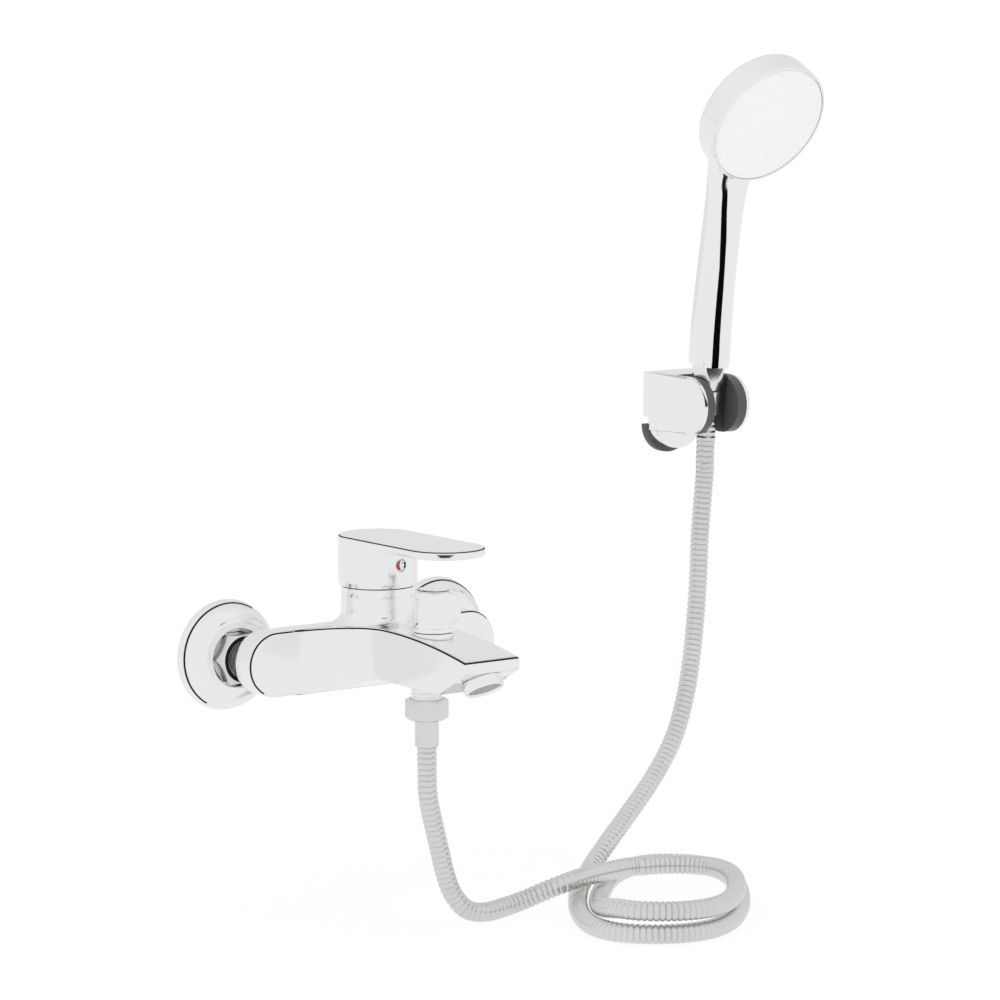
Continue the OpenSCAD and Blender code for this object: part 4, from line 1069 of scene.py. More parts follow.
@dataclass
class WallFlange:
    """A domed wall flange round a union nut.

    Attributes:
        side: -1 for the left inlet and 1 for the right one.
        line_from: Where the painted dark reflection line between rim and dome starts, in degrees from the
            top towards the left.
        line_to: Where it ends.
    """

    side: int
    line_from: float
    line_to: float
    spacing: float = 150.0
    outer: float = 32.5
    shoulder: float = 31.2
    rim: float = 5.0
    lip: float = 18.2
    depth: float = 14.5
    wall: float = 1.4
    floor: float = 6.5
    bore: float = 12.55
    bulge: float = 3.2
    line_in: float = 0.7
    line_out: float = 0.1
    line_low: float = 0.2
    line_high: float = 0.65
    nut_af: float = 28.0
    nut_from: float = 8.5
    nut_to: float = 21.8

    @property
    def name(self) -> str:
        """The side's name."""
        return "left" if self.side < 0 else "right"

    @property
    def place(self) -> Matrix:
        """The inlet's place, with z out of the wall."""
        return turned((self.side * self.spacing / 2, 0, 0), 90)

    def dome(self) -> list[Point2]:
        """Gives the dome's arc from the shoulder to the lip of the recess.

        Returns:
            The arc's points as (radius, height), in millimetres.
        """
        start, end = Vector((self.shoulder - 0.9, self.rim + 0.75)), Vector((self.lip, self.depth))
        chord = end - start
        outwards = Vector((chord.y, -chord.x)).normalized()
        made = []
        for k in range(15):
            t = k / 14
            spot = start + chord * t + outwards * self.bulge * (1 - (2 * t - 1) ** 2)
            made.append((spot.x, spot.y))
        return made

    def build_flange(self, dresser: Dresser) -> None:
        """Builds the flange with a painted dark reflection line between its rim and its dome.

        Args:
            dresser: Holds the finishes and puts pieces on their bodies.
        """
        outline = [
            (self.outer - self.wall, 0.0), (self.outer, 0.0), (self.outer, 0.5),
            (self.shoulder + 0.25, self.rim - 0.5),
            (self.shoulder + self.line_out, self.rim - self.line_low),
            (self.shoulder - self.line_in, self.rim + self.line_high), *self.dome(),
            (self.lip - 0.5, self.depth + 0.15), (self.lip - 1.1, self.depth - 0.1),
            (self.lip - 1.4, self.depth - 0.7),
            (self.lip - self.wall, self.floor + self.wall), (self.bore, self.floor + self.wall),
            (self.bore, self.floor),
            (self.lip - 0.3, self.floor), (self.shoulder - self.wall - 2, self.rim - 1),
        ]
        piece = lathe("Wall_flange_" + self.name, outline, self.place, steps=128)
        dresser.dress(piece, Body.MIXER, "bright_chrome", "wall_flange_" + self.name)
        dresser.add_painted_reflection_and_shade(piece)
        middle = Vector((self.side * self.spacing / 2, 0, 0))

        def on_painted_line(at: Vector) -> bool:
            """Says whether a face lies on the painted dark reflection line.

            Args:
                at: Place in millimetres.

            Returns:
                True where it does.
            """
            off = at - middle
            out = math.hypot(off.x, off.z) - self.shoulder
            up = -off.y - self.rim
            turn = math.degrees(math.atan2(-off.x, off.z))
            on_strip = -self.line_in < out < self.line_out and -self.line_low < up < self.line_high
            return on_strip and self.line_from < turn < self.line_to

        # Faces on the shoulder strip get the near-black finish: a painted dark reflection line.
        paint_faces(piece, 1, on_painted_line)

    def build_nut(self, dresser: Dresser) -> None:
        """Builds the hexagonal union nut with turned ends.

        Args:
            dresser: Holds the finishes and puts pieces on their bodies.
        """
        corner = self.nut_af / math.sqrt(3)
        piece = rod(
            "Union_nut_" + self.name, corner, self.nut_from, self.nut_to,
            self.place @ Matrix.Rotation(math.radians(30), 4, "Z"), 6,
        )
        turned_ends = fillet([
            (self.bore, self.nut_from), (self.nut_af / 2 - 0.3, self.nut_from),
            (corner + 0.1, self.nut_from + 1.6),
            (corner + 0.1, self.nut_to - 1.8), (self.nut_af / 2 - 0.4, self.nut_to),
            (self.bore - 1.8, self.nut_to),
            (self.bore - 1.8, self.nut_to - 2.6), (self.bore, self.nut_to - 2.6),
        ])
        combine(piece, lathe("Nut_ends", turned_ends, self.place), "INTERSECT")
        tidy_mesh(piece)
        round_edges(piece, 0.35, 2)
        smooth(piece, 25)
        dresser.dress(piece, Body.MIXER, "bright_chrome", "union_nut_" + self.name)
        dresser.vary(piece, "soft")
        dresser.add_painted_reflection_and_shade(piece)
        # The nut's face towards the body is painted near-black: painted shade of the gap between nut and
        # body.
        paint_faces(piece, 1, lambda at: -at.y > self.nut_to - 0.05)

    def build(self, dresser: Dresser) -> None:
        """Builds both pieces."""
        self.build_flange(dresser)
        self.build_nut(dresser)


# The mixer body


@dataclass
class MixerBody:
    """The cast body: two wings, the swept spout and the cartridge boss."""

    half_length: float = 87.0
    wing_r: float = 19.0
    wing_mid: float = -0.8
    back: float = 22.0
    front: float = 46.0
    back_r: float = 10.0
    spout_half: float = 19.3
    reach: float = 162.0
    sweep: float = 38.0
    crown_r: float = 380.0
    crown_y: float = 82.0
    crown_mid: float = -360.12
    tip_low: float = 4.36
    belly: float = -10.4
    belly_from: float = 72.0
    belly_to: float = 136.4
    boss_y: float = 49.0
    boss_r: float = 21.7
    boss_top: float = 34.5
    flare: float = 8.0
    # Width of the rounded front and top edges whose middle strip gets the painted dark reflection line.
    edge: float = 2.1
    low_edge: float = 1.0
    boss_low: float = -9.8

    def crown(self, y: float) -> float:
        """Gives the height of the crowned top at a distance from the wall."""
        return self.crown_mid + math.sqrt(self.crown_r ** 2 - (y - self.crown_y) ** 2)

    def plan(self, back: float, wide: float) -> list[Point2]:
        """Gives the spout's outline seen from above.

        Args:
            back: Distance from the wall where it starts.
            wide: Half of its width there.

        Returns:
            The outline's points as (x, y).
        """
        root = self.spout_half + self.sweep + 0.03
        right = arc((root, -self.front - self.sweep - 0.03), self.sweep, 180, 90, 40)
        half = [(self.spout_half, -self.reach), *right]
        if wide > root:
            half.append((wide, -self.front))
        half.append((max(wide, root), -back))
        return [*half, *((-x, y) for x, y in reversed(half))]

    def wings(self, dresser: Dresser) -> bpy.types.Object:
        """Models the wings as a long rounded bar with a soft back edge and a rounded front edge carrying a
        painted dark reflection line.

        Args:
            dresser: Holds the finishes and puts pieces on their bodies.

        Returns:
            The bar.
        """
        straight = self.half_length - self.wing_r
        outline = [
            *arc((straight, self.wing_mid), self.wing_r, -90, 90, 48),
            *arc((-straight, self.wing_mid), self.wing_r, 90, 270, 48),
        ]
        bar = prism(
            "Mixer_body", [Vector((x, -self.back, z)) for x, z in outline],
            Vector((0, self.back - self.front, 0)),
        )
        dresser.dress(bar, Body.MIXER, "bright_chrome", "mixer_body")
        dresser.add_painted_reflection_and_shade(bar)
        soften(bar, lambda a, b, n, m: min(a.y, b.y) > -self.back - 0.01, self.back_r, 10)

        def is_painted_dark(at: Vector) -> bool:
            """Says whether a face of the rounded front edge gets the painted dark reflection line.

            Args:
                at: Place in millimetres.

            Returns:
                True where it is.
            """
            if at.x < -straight:
                return at.z > self.wing_mid - self.wing_r * 0.85
            return at.z > 0 if at.x < straight else at.z > self.wing_mid + self.wing_r * 0.7

        paint_reflection_edge(bar, lambda a, b, n, m: max(a.y, b.y) < -self.front + 0.01, self.edge, is_painted_dark)
        return bar

    def spout(self, dresser: Dresser) -> bpy.types.Object:
        """Models the spout between its plan and its side outline, with a painted dark reflection line along
        its rounded upper edge.

        Args:
            dresser: Holds the finishes and puts pieces on their bodies.

        Returns:
            The spout's solid.
        """
        inside = self.front - 6
        plan = prism("Spout", [Vector((x, y, -30)) for x, y in self.plan(inside, 0)], Vector((0, 0, 90)))
        ys = [inside + (self.reach + 4 - inside) * k / 48 for k in range(49)]
        slope = (self.belly - self.tip_low) / (self.belly_to - self.reach)
        root = self.wing_mid - self.wing_r + 0.3
        side = [
            *((-y, self.crown(y)) for y in ys), (-self.reach - 4, self.tip_low + 4 * slope),
            (-self.belly_to, self.belly),
            (-self.belly_from, self.belly), (-self.front, root), (-inside, root),
        ]
        profile = prism("Side", [Vector((-120, y, z)) for y, z in side], Vector((240, 0, 0)))
        combine(plan, profile, "INTERSECT")
        tidy_mesh(plan, 0.01)
        dresser.coat(plan, "bright_chrome")
        paint_reflection_edge(plan, self.on_top_edge, self.edge, lambda at: at.y < -self.front + self.edge)
        soften(plan, self.on_low_edge, self.low_edge)
        return plan

    def boss(self) -> bpy.types.Object:
        """Models the boss with its flared foot, cut to the body's plan.

        Returns:
            The boss's solid.
        """
        top = self.wing_mid + self.wing_r
        outline = [
            (0, top - 1), (self.boss_r + self.flare, top - 1), (self.boss_r + self.flare, top),
            *arc((self.boss_r + self.flare, top + self.flare), self.flare, 270, 180, 16),
            (0, top + self.flare),
        ]
        foot = lathe("Boss", outline, turned((0, -self.boss_y, 0)), steps=128, closed=False)
        plan = prism(
            "Plan", [Vector((x, y, 0)) for x, y in self.plan(self.front - 14, self.half_length)],
            Vector((0, 0, 60)),
        )
        combine(foot, plan, "INTERSECT")
        combine(
            foot,
            rod("Boss_wall", self.boss_r, self.boss_low, self.boss_top, turned((0, -self.boss_y, 0)), 128),
            "UNION",
        )
        return foot

    def on_top_edge(self, a: Vector, b: Vector, one: Vector, two: Vector) -> bool:
        """Says whether an edge of the spout lies round its crowned top."""
        mid = (a + b) / 2
        return max(one.z, two.z) > 0.5 and mid.z > self.crown(-mid.y) - 0.4 and self.on_plan(mid)

    def on_plan(self, at: Vector) -> bool:
        """Says whether a place lies on the spout's outline seen from above.

        Args:
            at: Place in millimetres.

        Returns:
            True where it does.
        """
        x, y = abs(at.x), -at.y
        if y > self.reach - 0.05:
            return True
        turn = self.front + self.sweep + 0.03
        if y > turn:
            return abs(x - self.spout_half) < 0.05
        return abs(math.hypot(x - self.spout_half - self.sweep - 0.03, y - turn) - self.sweep) < 0.1

    def on_low_edge(self, a: Vector, b: Vector, one: Vector, two: Vector) -> bool:
        """Says whether an edge of the spout lies round its belly or stands at its tip.

        Args:
            a: One end of the edge, in millimetres.
            b: Its other end.
            one: Normal of the first face.
            two: Normal of the second face.

        Returns:
            True where it does.
        """
        mid = (a + b) / 2
        if max(one.z, two.z) > 0.5:
            return False
        return mid.y < -self.front - 0.1 and self.on_plan(mid)

    def build(self, dresser: Dresser) -> None:
        """Builds the body as one solid with rounded edges and painted dark reflection lines.

        Args:
            dresser: Holds the finishes and puts pieces on their bodies.
        """
        piece = self.wings(dresser)
        combine(piece, self.spout(dresser), "UNION")
        combine(piece, self.boss(), "UNION")
        tidy_mesh(piece, 0.01)
        smooth(piece, 32)
        even_normals(piece)


# The lever


@dataclass
class Lever:
    """The trim ring, and the lever's skirt and paddle with its index."""

    axis_y: float = 49.0
    ring_low: float = 34.5
    ring_high: float = 40.5
    ring_r: float = 21.7
    skirt_low: float = 40.8
    skirt_r: float = 23.2
    chamfer: float = 2.5
    inner: float = 22.0
    top: float = 70.4
    paddle: float = 4.8
    paddle_l: float = 67.0
    index_z: float = 54.4
    index_r: float = 3.8
    index_deep: float = 3.0
    seat_gap: float = 0.1
    socket_r: float = 8.4
    socket_low: float = 51.7
    dome_mid: float = 30.0
    dome_outer: float = 21.4
    dome_inner: float = 19.8
    dome_span: Point2 = (27.8, 53.1)
    # Width of the paddle's rounded upper edge whose middle strip gets the painted dark reflection line.
    edge: float = 1.6
    low_edge: float = 1.0

    def ring(self, dresser: Dresser) -> None:
        """Builds the trim ring with fine grooves at its ends.

        Args:
            dresser: Holds the finishes and puts pieces on their bodies.
        """
        low, high = self.ring_low, self.ring_high
        dome = arc((0, self.dome_mid), self.dome_outer, *self.dome_span, 10)
        outline = [
            (self.ring_r - 1.6, low), (self.ring_r - 0.45, low), (self.ring_r - 0.45, low + 0.35),
            (self.ring_r - 0.1, low + 0.45),
            (self.ring_r, low + 0.7), (self.ring_r, high - 0.4), (self.ring_r - 0.4, high), *dome,
            *reversed(arc((0, self.dome_mid), self.dome_inner, *self.dome_span, 10)),
        ]
        piece = lathe("Trim_ring", outline, turned((0, -self.axis_y, 0)), steps=128)
        dresser.dress(piece, Body.MIXER, "bright_chrome", "trim_ring")

    def handle(self, dresser: Dresser) -> None:
        """Builds the skirt and the paddle as one casting, with a painted dark reflection line along the
        paddle's rounded upper edge.

        Args:
            dresser: Holds the finishes and puts pieces on their bodies.
        """
        at = turned((0, -self.axis_y, 0))
        under = self.top - self.paddle
        skirt = [
            (self.inner, self.skirt_low), (self.skirt_r - 0.9, self.skirt_low),
            (self.skirt_r - 0.75, self.skirt_low + 0.3),
            (self.skirt_r - 0.12, self.skirt_low + self.chamfer - 0.3),
            (self.skirt_r, self.skirt_low + self.chamfer + 0.4),
            (self.skirt_r, under + 1), (self.inner, under + 1),
        ]
        rear, end = (0, -self.axis_y), (0, -self.axis_y - self.paddle_l)
        outline = [*arc(rear, self.skirt_r, 0, 180, 80), *arc(end, self.skirt_r, 180, 360, 80)]
        piece = prism(
            "Lever_handle", [Vector((x, y, under)) for x, y in outline], Vector((0, 0, self.paddle)),
        )
        dresser.dress(piece, Body.LEVER, "bright_chrome", "lever_handle")
        dresser.add_painted_reflection_and_shade(piece)
        paint_reflection_edge(piece, lambda a, b, n, m: min(a.z, b.z) > self.top - 0.01, self.edge, lambda at: True)
        soften(
            piece, lambda a, b, n, m: max(a.z, b.z) < under + 0.01 and max(a.y, b.y) < end[1] + 1,
            self.low_edge,
        )
        combine(piece, lathe("Skirt", skirt, at, steps=160), "UNION")
        combine(piece, rod("Socket", self.socket_r, self.socket_low, under + 1, at), "UNION")
        combine(
            piece, rod("Index_seat", self.index_r + self.seat_gap, -0.5, 8.0, self.index_place),
            "DIFFERENCE",
        )
        tidy_mesh(piece, 0.01)
        smooth(piece, 32)
        even_normals(piece)

    @property
    def index_place(self) -> Matrix:
        """The index's place, with z out of the skirt."""
        return turned((0, -self.axis_y - self.skirt_r + self.index_deep, self.index_z), 90)

    def index(self, dresser: Dresser) -> None:
        """Builds the index as a small polished dish with a red half and a painted dark reflection line on
        its right rim.

        Args:
            dresser: Holds the finishes and puts pieces on their bodies.
        """
        at = self.index_place
        r = self.index_r
        dish = fillet(
            [(0, 0), (r, 0), (r, 2.5, 0.3), (r - 0.5, 2.9, 0.2), (r - 0.9, 2.5, 0.2), (0.8, 1.5), (0, 1.5)]
        )
        piece = lathe("Index_button", dish, at, steps=64, closed=False)
        dresser.dress(piece, Body.LEVER, "bright_chrome", "index_button")
        dresser.vary(piece, "mirror")
        piece.data.materials.append(dresser.materials["red_index"])
        dresser.add_painted_reflection_and_shade(piece)
        front = -self.axis_y - self.skirt_r + 1.8
        paint_faces(
            piece, 1, lambda at: -2.4 < at.x < 0.4 and abs(at.z - self.index_z) < 1.9 and at.y < front,
        )
        # The right rim of the dish gets the near-black finish: a painted dark reflection line.
        paint_faces(piece, 2, lambda at: at.x > 2.3 and abs(at.z - self.index_z) < 1.8 and at.y < front)

    def build(self, dresser: Dresser) -> None:
        """Builds the three pieces.

        Args:
            dresser: Holds the finishes and puts pieces on their bodies.
        """
        self.ring(dresser)
        self.handle(dresser)
        self.index(dresser)


# The diverter knob


@dataclass
class Diverter:
    """The turn knob on the spout: a tapered barrel with a flat, a finger tab and a cap."""

    axis_y: float = 105.0
    low: float = 20.4
    height: float = 23.4
    foot_r: float = 12.2
    top_r: float = 10.8
    flat_at: float = 7.8
    tab_turn: float = -28.0
    tab_reach: float = 15.6
    tab_t: float = 5.0
    tab_from: float = 4.0
    tab_low: float = 3.0
    tab_round: float = 6.5
    tab_edge: float = 1.4
    bush_bore: float = 6.0
    bush_r: float = 9.6
    bush_low: float = -14.4
    collar_low: float = -3.2
    cap: float = 1.2

    def build(self, dresser: Dresser) -> None:
        """Builds the knob and its cap.

        Args:
            dresser: Holds the finishes and puts pieces on their bodies.
        """
        at = turned((0, -self.axis_y, self.low))
        h = self.height
        barrel = fillet([
            (0, 0), (self.foot_r - 0.5, 0), (self.foot_r, 0.5, 0.4), (self.foot_r - 0.16, 2.6),
            (self.foot_r - 0.5, 2.9),
            (self.top_r + 0.1, h - 1.2, 0.6), (self.top_r - 0.5, h - 0.2, 0.4), (self.top_r - 1.2, h),
            (0, h),
        ])
        piece = lathe("Diverter_knob", barrel, at, steps=128, closed=False)
        turn = Matrix.Rotation(math.radians(self.tab_turn), 4, "Z")
        flat = [
            Vector((self.flat_at, -14, 4.0)), Vector((20, -14, 4.0)), Vector((20, -14, h - 2.4)),
            Vector((self.flat_at + 0.6, -14, h - 2.4)),
        ]
        cut = prism("Flat", flat, Vector((0, 28, 0)))
        cut.data.transform(at @ turn)
        combine(piece, cut, "DIFFERENCE")
        reach, high, bow = self.tab_reach, h - 4.0, self.tab_round
        ear = [
            (self.tab_from, 0.0), *arc((reach - bow, bow), bow, -90, 0, 10),
            *arc((reach - bow, high - bow), bow, 0, 90, 10), (self.tab_from, high),
        ]
        tab = prism(
            "Tab", [Vector((x, -self.tab_t / 2, z + self.tab_low)) for x, z in ear],
            Vector((0, self.tab_t, 0)),
        )
        soften(tab, lambda a, b, n, m: max(a.x, b.x) > self.tab_from + 0.1, self.tab_edge, 3)
        tab.data.transform(at @ turn)
        combine(piece, tab, "UNION")
        tidy_mesh(piece, 0.01)
        smooth(piece, 30)
        dresser.dress(piece, Body.DIVERTER, "bright_chrome", "diverter_knob")
        dresser.vary(piece, "mirror")
        collar_r = self.foot_r - 0.2
        collar = fillet([
            (self.bush_bore, self.bush_low), (self.bush_r, self.bush_low), (self.bush_r, self.collar_low),
            (collar_r, self.collar_low), (collar_r, -0.4, 0.2), (self.bush_bore, -0.4),
        ])
        bush = lathe("Diverter_bush", collar, at, steps=96)
        dresser.dress(bush, Body.MIXER, "plain_metal", "diverter_bush")
        dresser.vary(bush, "mirror")
        cap = fillet([
            (0, h - 1.0), (self.top_r - 1.6, h - 1.0), (self.top_r - 1.5, h + 0.3),
            (self.top_r - 1.7, h + 0.75, 0.2),
            (self.top_r - 2.6, h + self.cap, 0.3), (0, h + self.cap),
        ])
        lid = lathe("Diverter_cap", cap, at, steps=96, closed=False)
        dresser.dress(lid, Body.DIVERTER, "bright_chrome", "diverter_cap")
        dresser.add_painted_reflection_and_shade(lid)
        # A band of the cap's rim on its left side gets the near-black finish: a painted dark reflection
        # line.
        paint_faces(lid, 1, lambda p: p.z < self.low + h + 0.75 and p.z > self.low + h + 0.2 and p.x < 5.5)


# Spout end and shower outlet


@dataclass
class SpoutEnd:
    """The tilted aerator under the spout's tip."""

    at: Point3 = (0.0, -151.78, -1.54)
    tilt: float = -30.0
    radius: float = 11.8
    height: float = 6.4
    mesh_r: float = 9.5

    def build(self, dresser: Dresser) -> None:
        """Builds the aerator's ring and the screen in it.

        Args:
            dresser: Holds the finishes and puts pieces on their bodies.
        """
        place = turned(self.at, self.tilt)
        r, h = self.radius, self.height
        ring = fillet([
            (0, 0.6), (r - 0.9, 0.6), (r - 0.9, 0), (r - 0.5, -0.15), (r - 0.4, -0.6), (r, -0.9, 0.3),
            (r - 0.45, -h, 0.5),
            (self.mesh_r + 0.4, -h, 0.3), (self.mesh_r, -h + 0.6), (self.mesh_r, -h + 2.4), (0, -h + 2.4),
        ])
        piece = lathe("Aerator_housing", ring, place, steps=112, closed=False)
        dresser.dress(piece, Body.MIXER, "bright_chrome", "aerator_housing")
        dresser.vary(piece, "mirror")
        steps = []
        for k in range(9):
            inner = self.mesh_r - 0.15 - k
            steps += [
                (inner, -h + 1.2), (inner - 0.5, -h + 1.2), (inner - 0.5, -h + 1.7),
                (inner - 1.0, -h + 1.7),
            ]
        screen = lathe(
            "Aerator_insert", [(0, -h + 3), (self.mesh_r - 0.15, -h + 3), *steps, (0, -h + 1.2)], place,
            steps=64, closed=False
        )
        dresser.dress(screen, Body.MIXER, "dark_plastic", "aerator_insert")
        dresser.vary(screen, "screen")


@dataclass
class Outlet:
    """The threaded shower outlet with the hose's nut and sleeve."""

    axis_y: float = 98.0
    top: float = -9.0
    thread_r: float = 9.3
    thread_end: float = -25.0
    pitch: float = 2.3
    bore: float = 6.0
    nut_af: float = 21.8
    nut_turn: float = -5.0
    nut_top: float = -19.6
    nut_low: float = -32.0
    sleeve_r: float = 6.9
    sleeve_bore: float = 3.6
    collar_r: float = 9.1
    sleeve_low: float = -47.7

    def build(self, dresser: Dresser) -> None:
        """Builds the outlet's thread, the nut and the sleeve.

        Args:
            dresser: Holds the finishes and puts pieces on their bodies.
        """
        at = turned((0, -self.axis_y, 0))
        crests: list[Point2] = []
        pitch, root = self.pitch, self.thread_r - 0.9
        z = self.top
        while z > self.thread_end + pitch:
            crests += [(root, z), (self.thread_r, z - 0.35 * pitch), (self.thread_r, z - 0.65 * pitch)]
            z -= pitch
        outline = [
            (self.bore, self.top + 2), (root, self.top + 2), *crests, (root, self.thread_end),
            (self.bore, self.thread_end),
        ]
        thread = lathe("Shower_outlet", outline, at, steps=96)
        dresser.dress(thread, Body.MIXER, "bright_chrome", "shower_outlet")
        dresser.vary(thread, "mirror")
        corner = self.nut_af / math.sqrt(3)
        nut = rod(
            "Hose_nut", corner, self.nut_low, self.nut_top,
            at @ Matrix.Rotation(math.radians(self.nut_turn), 4, "Z"), 6,
        )
        ends = fillet([
            (0, self.nut_low), (self.nut_af / 2 - 0.9, self.nut_low), (corner + 0.1, self.nut_low + 1.5),
            (corner + 0.1, self.nut_top - 0.9), (self.nut_af / 2 - 0.2, self.nut_top), (0, self.nut_top),
        ])
        combine(nut, lathe("Nut_ends", ends, at, closed=False), "INTERSECT")
        combine(
            nut, rod("Nut_bore", self.thread_r + 0.15, self.nut_top - 7.9, self.nut_top + 1, at),
            "DIFFERENCE",
        )
        tidy_mesh(nut)
        round_edges(nut, 0.3, 2)
        smooth(nut, 25)
        dresser.dress(nut, Body.MIXER, "satin_chrome", "hose_nut")
        sleeve = fillet([
            (self.sleeve_bore, self.nut_low + 4.6), (self.collar_r, self.nut_low + 4.6),
            (self.collar_r, self.nut_low + 2.6), (self.sleeve_r, self.nut_low + 2.4),
            (self.sleeve_r, self.sleeve_low + 1.2), (self.sleeve_r + 0.15, self.sleeve_low + 0.8, 0.2),
            (self.sleeve_r - 0.3, self.sleeve_low, 0.2), (self.sleeve_bore, self.sleeve_low),
        ])
        tail = lathe("Hose_sleeve_lower", sleeve, at, steps=96)
        dresser.dress(tail, Body.MIXER, "satin_chrome", "hose_sleeve_lower")


# The holder


@dataclass
class Holder:
    """The wall holder: wall plate, bracket with two cheeks, and the turning core."""

    pivot: Point3 = (252.5, -42.0, 129.5)
    half_w: float = 15.5
    lean: float = 3.0
    slot_left: float = 8.0
    slot_right: float = 10.3
    wider: float = 1.194
    wide_from: float = 244.7
    plate_t: float = 4.0
    plate_edge: float = 0.8
    side_edge: float = 1.4

    def widen(self, piece: bpy.types.Object) -> None:
        """Widens a copied piece along X.

        Args:
            piece: The mesh object.
        """
        edit_all(piece)
        bpy.ops.transform.resize(value=(self.wider, 1, 1), center_override=(self.wide_from * MM, 0, 0))
        close_edit()

    def build(self, dresser: Dresser) -> None:
        """Builds the three pieces from the part's solids, with softened edges.

        Args:
            dresser: Holds the finishes and puts pieces on their bodies.
        """
        plate = copy_of("bracket_wall_plate", "Bracket_wall_plate")
        soften(plate, lambda a, b, n, m: max(a.y, b.y) < -self.plate_t, self.plate_edge)
        smooth(plate, 30)
        dresser.dress(plate, Body.MIXER, "dark_plastic", "bracket_wall_plate")
        body = copy_of("bracket_body", "Bracket_body")
        x, half = self.pivot[0], self.half_w

        def on_side(a: Vector, b: Vector, one: Vector, two: Vector) -> bool:
            """Says whether an edge lies on one of the bracket's two sides."""
            return all(abs(abs(v.x - x) - half) < 0.01 for v in (a, b)) and max(a.y, b.y) < -5.5

        soften(body, on_side, self.side_edge)
        self.widen(body)
        smooth(body, 30)
        even_normals(body)
        dresser.dress(body, Body.MIXER, "bright_chrome", "bracket_body")
        core = copy_of("holder_core", "Holder_core")
        self.widen(core)
        at = turned(self.pivot, self.lean)
        seat = [
            (0, -30), (self.slot_right - 1, -30), (self.slot_right - 1, 4), (11.0, 13), (11.4, 30),
            (0, 30),
        ]
        combine(core, lathe("Seat", seat, at, closed=False), "DIFFERENCE")
        corners = (
            (-self.slot_left, -30), (self.slot_right, -30), (self.slot_right, 0), (-self.slot_left, 0),
        )
        slot = prism("Slot", [Vector((x, y, -30)) for x, y in corners], Vector((0, 0, 60)))
        slot.data.transform(at)
        combine(core, slot, "DIFFERENCE")
        tidy_mesh(core, 0.01)
        smooth(core, 30)
        dresser.dress(core, Body.CRADLE, "dark_plastic", "holder_core")


# The handset


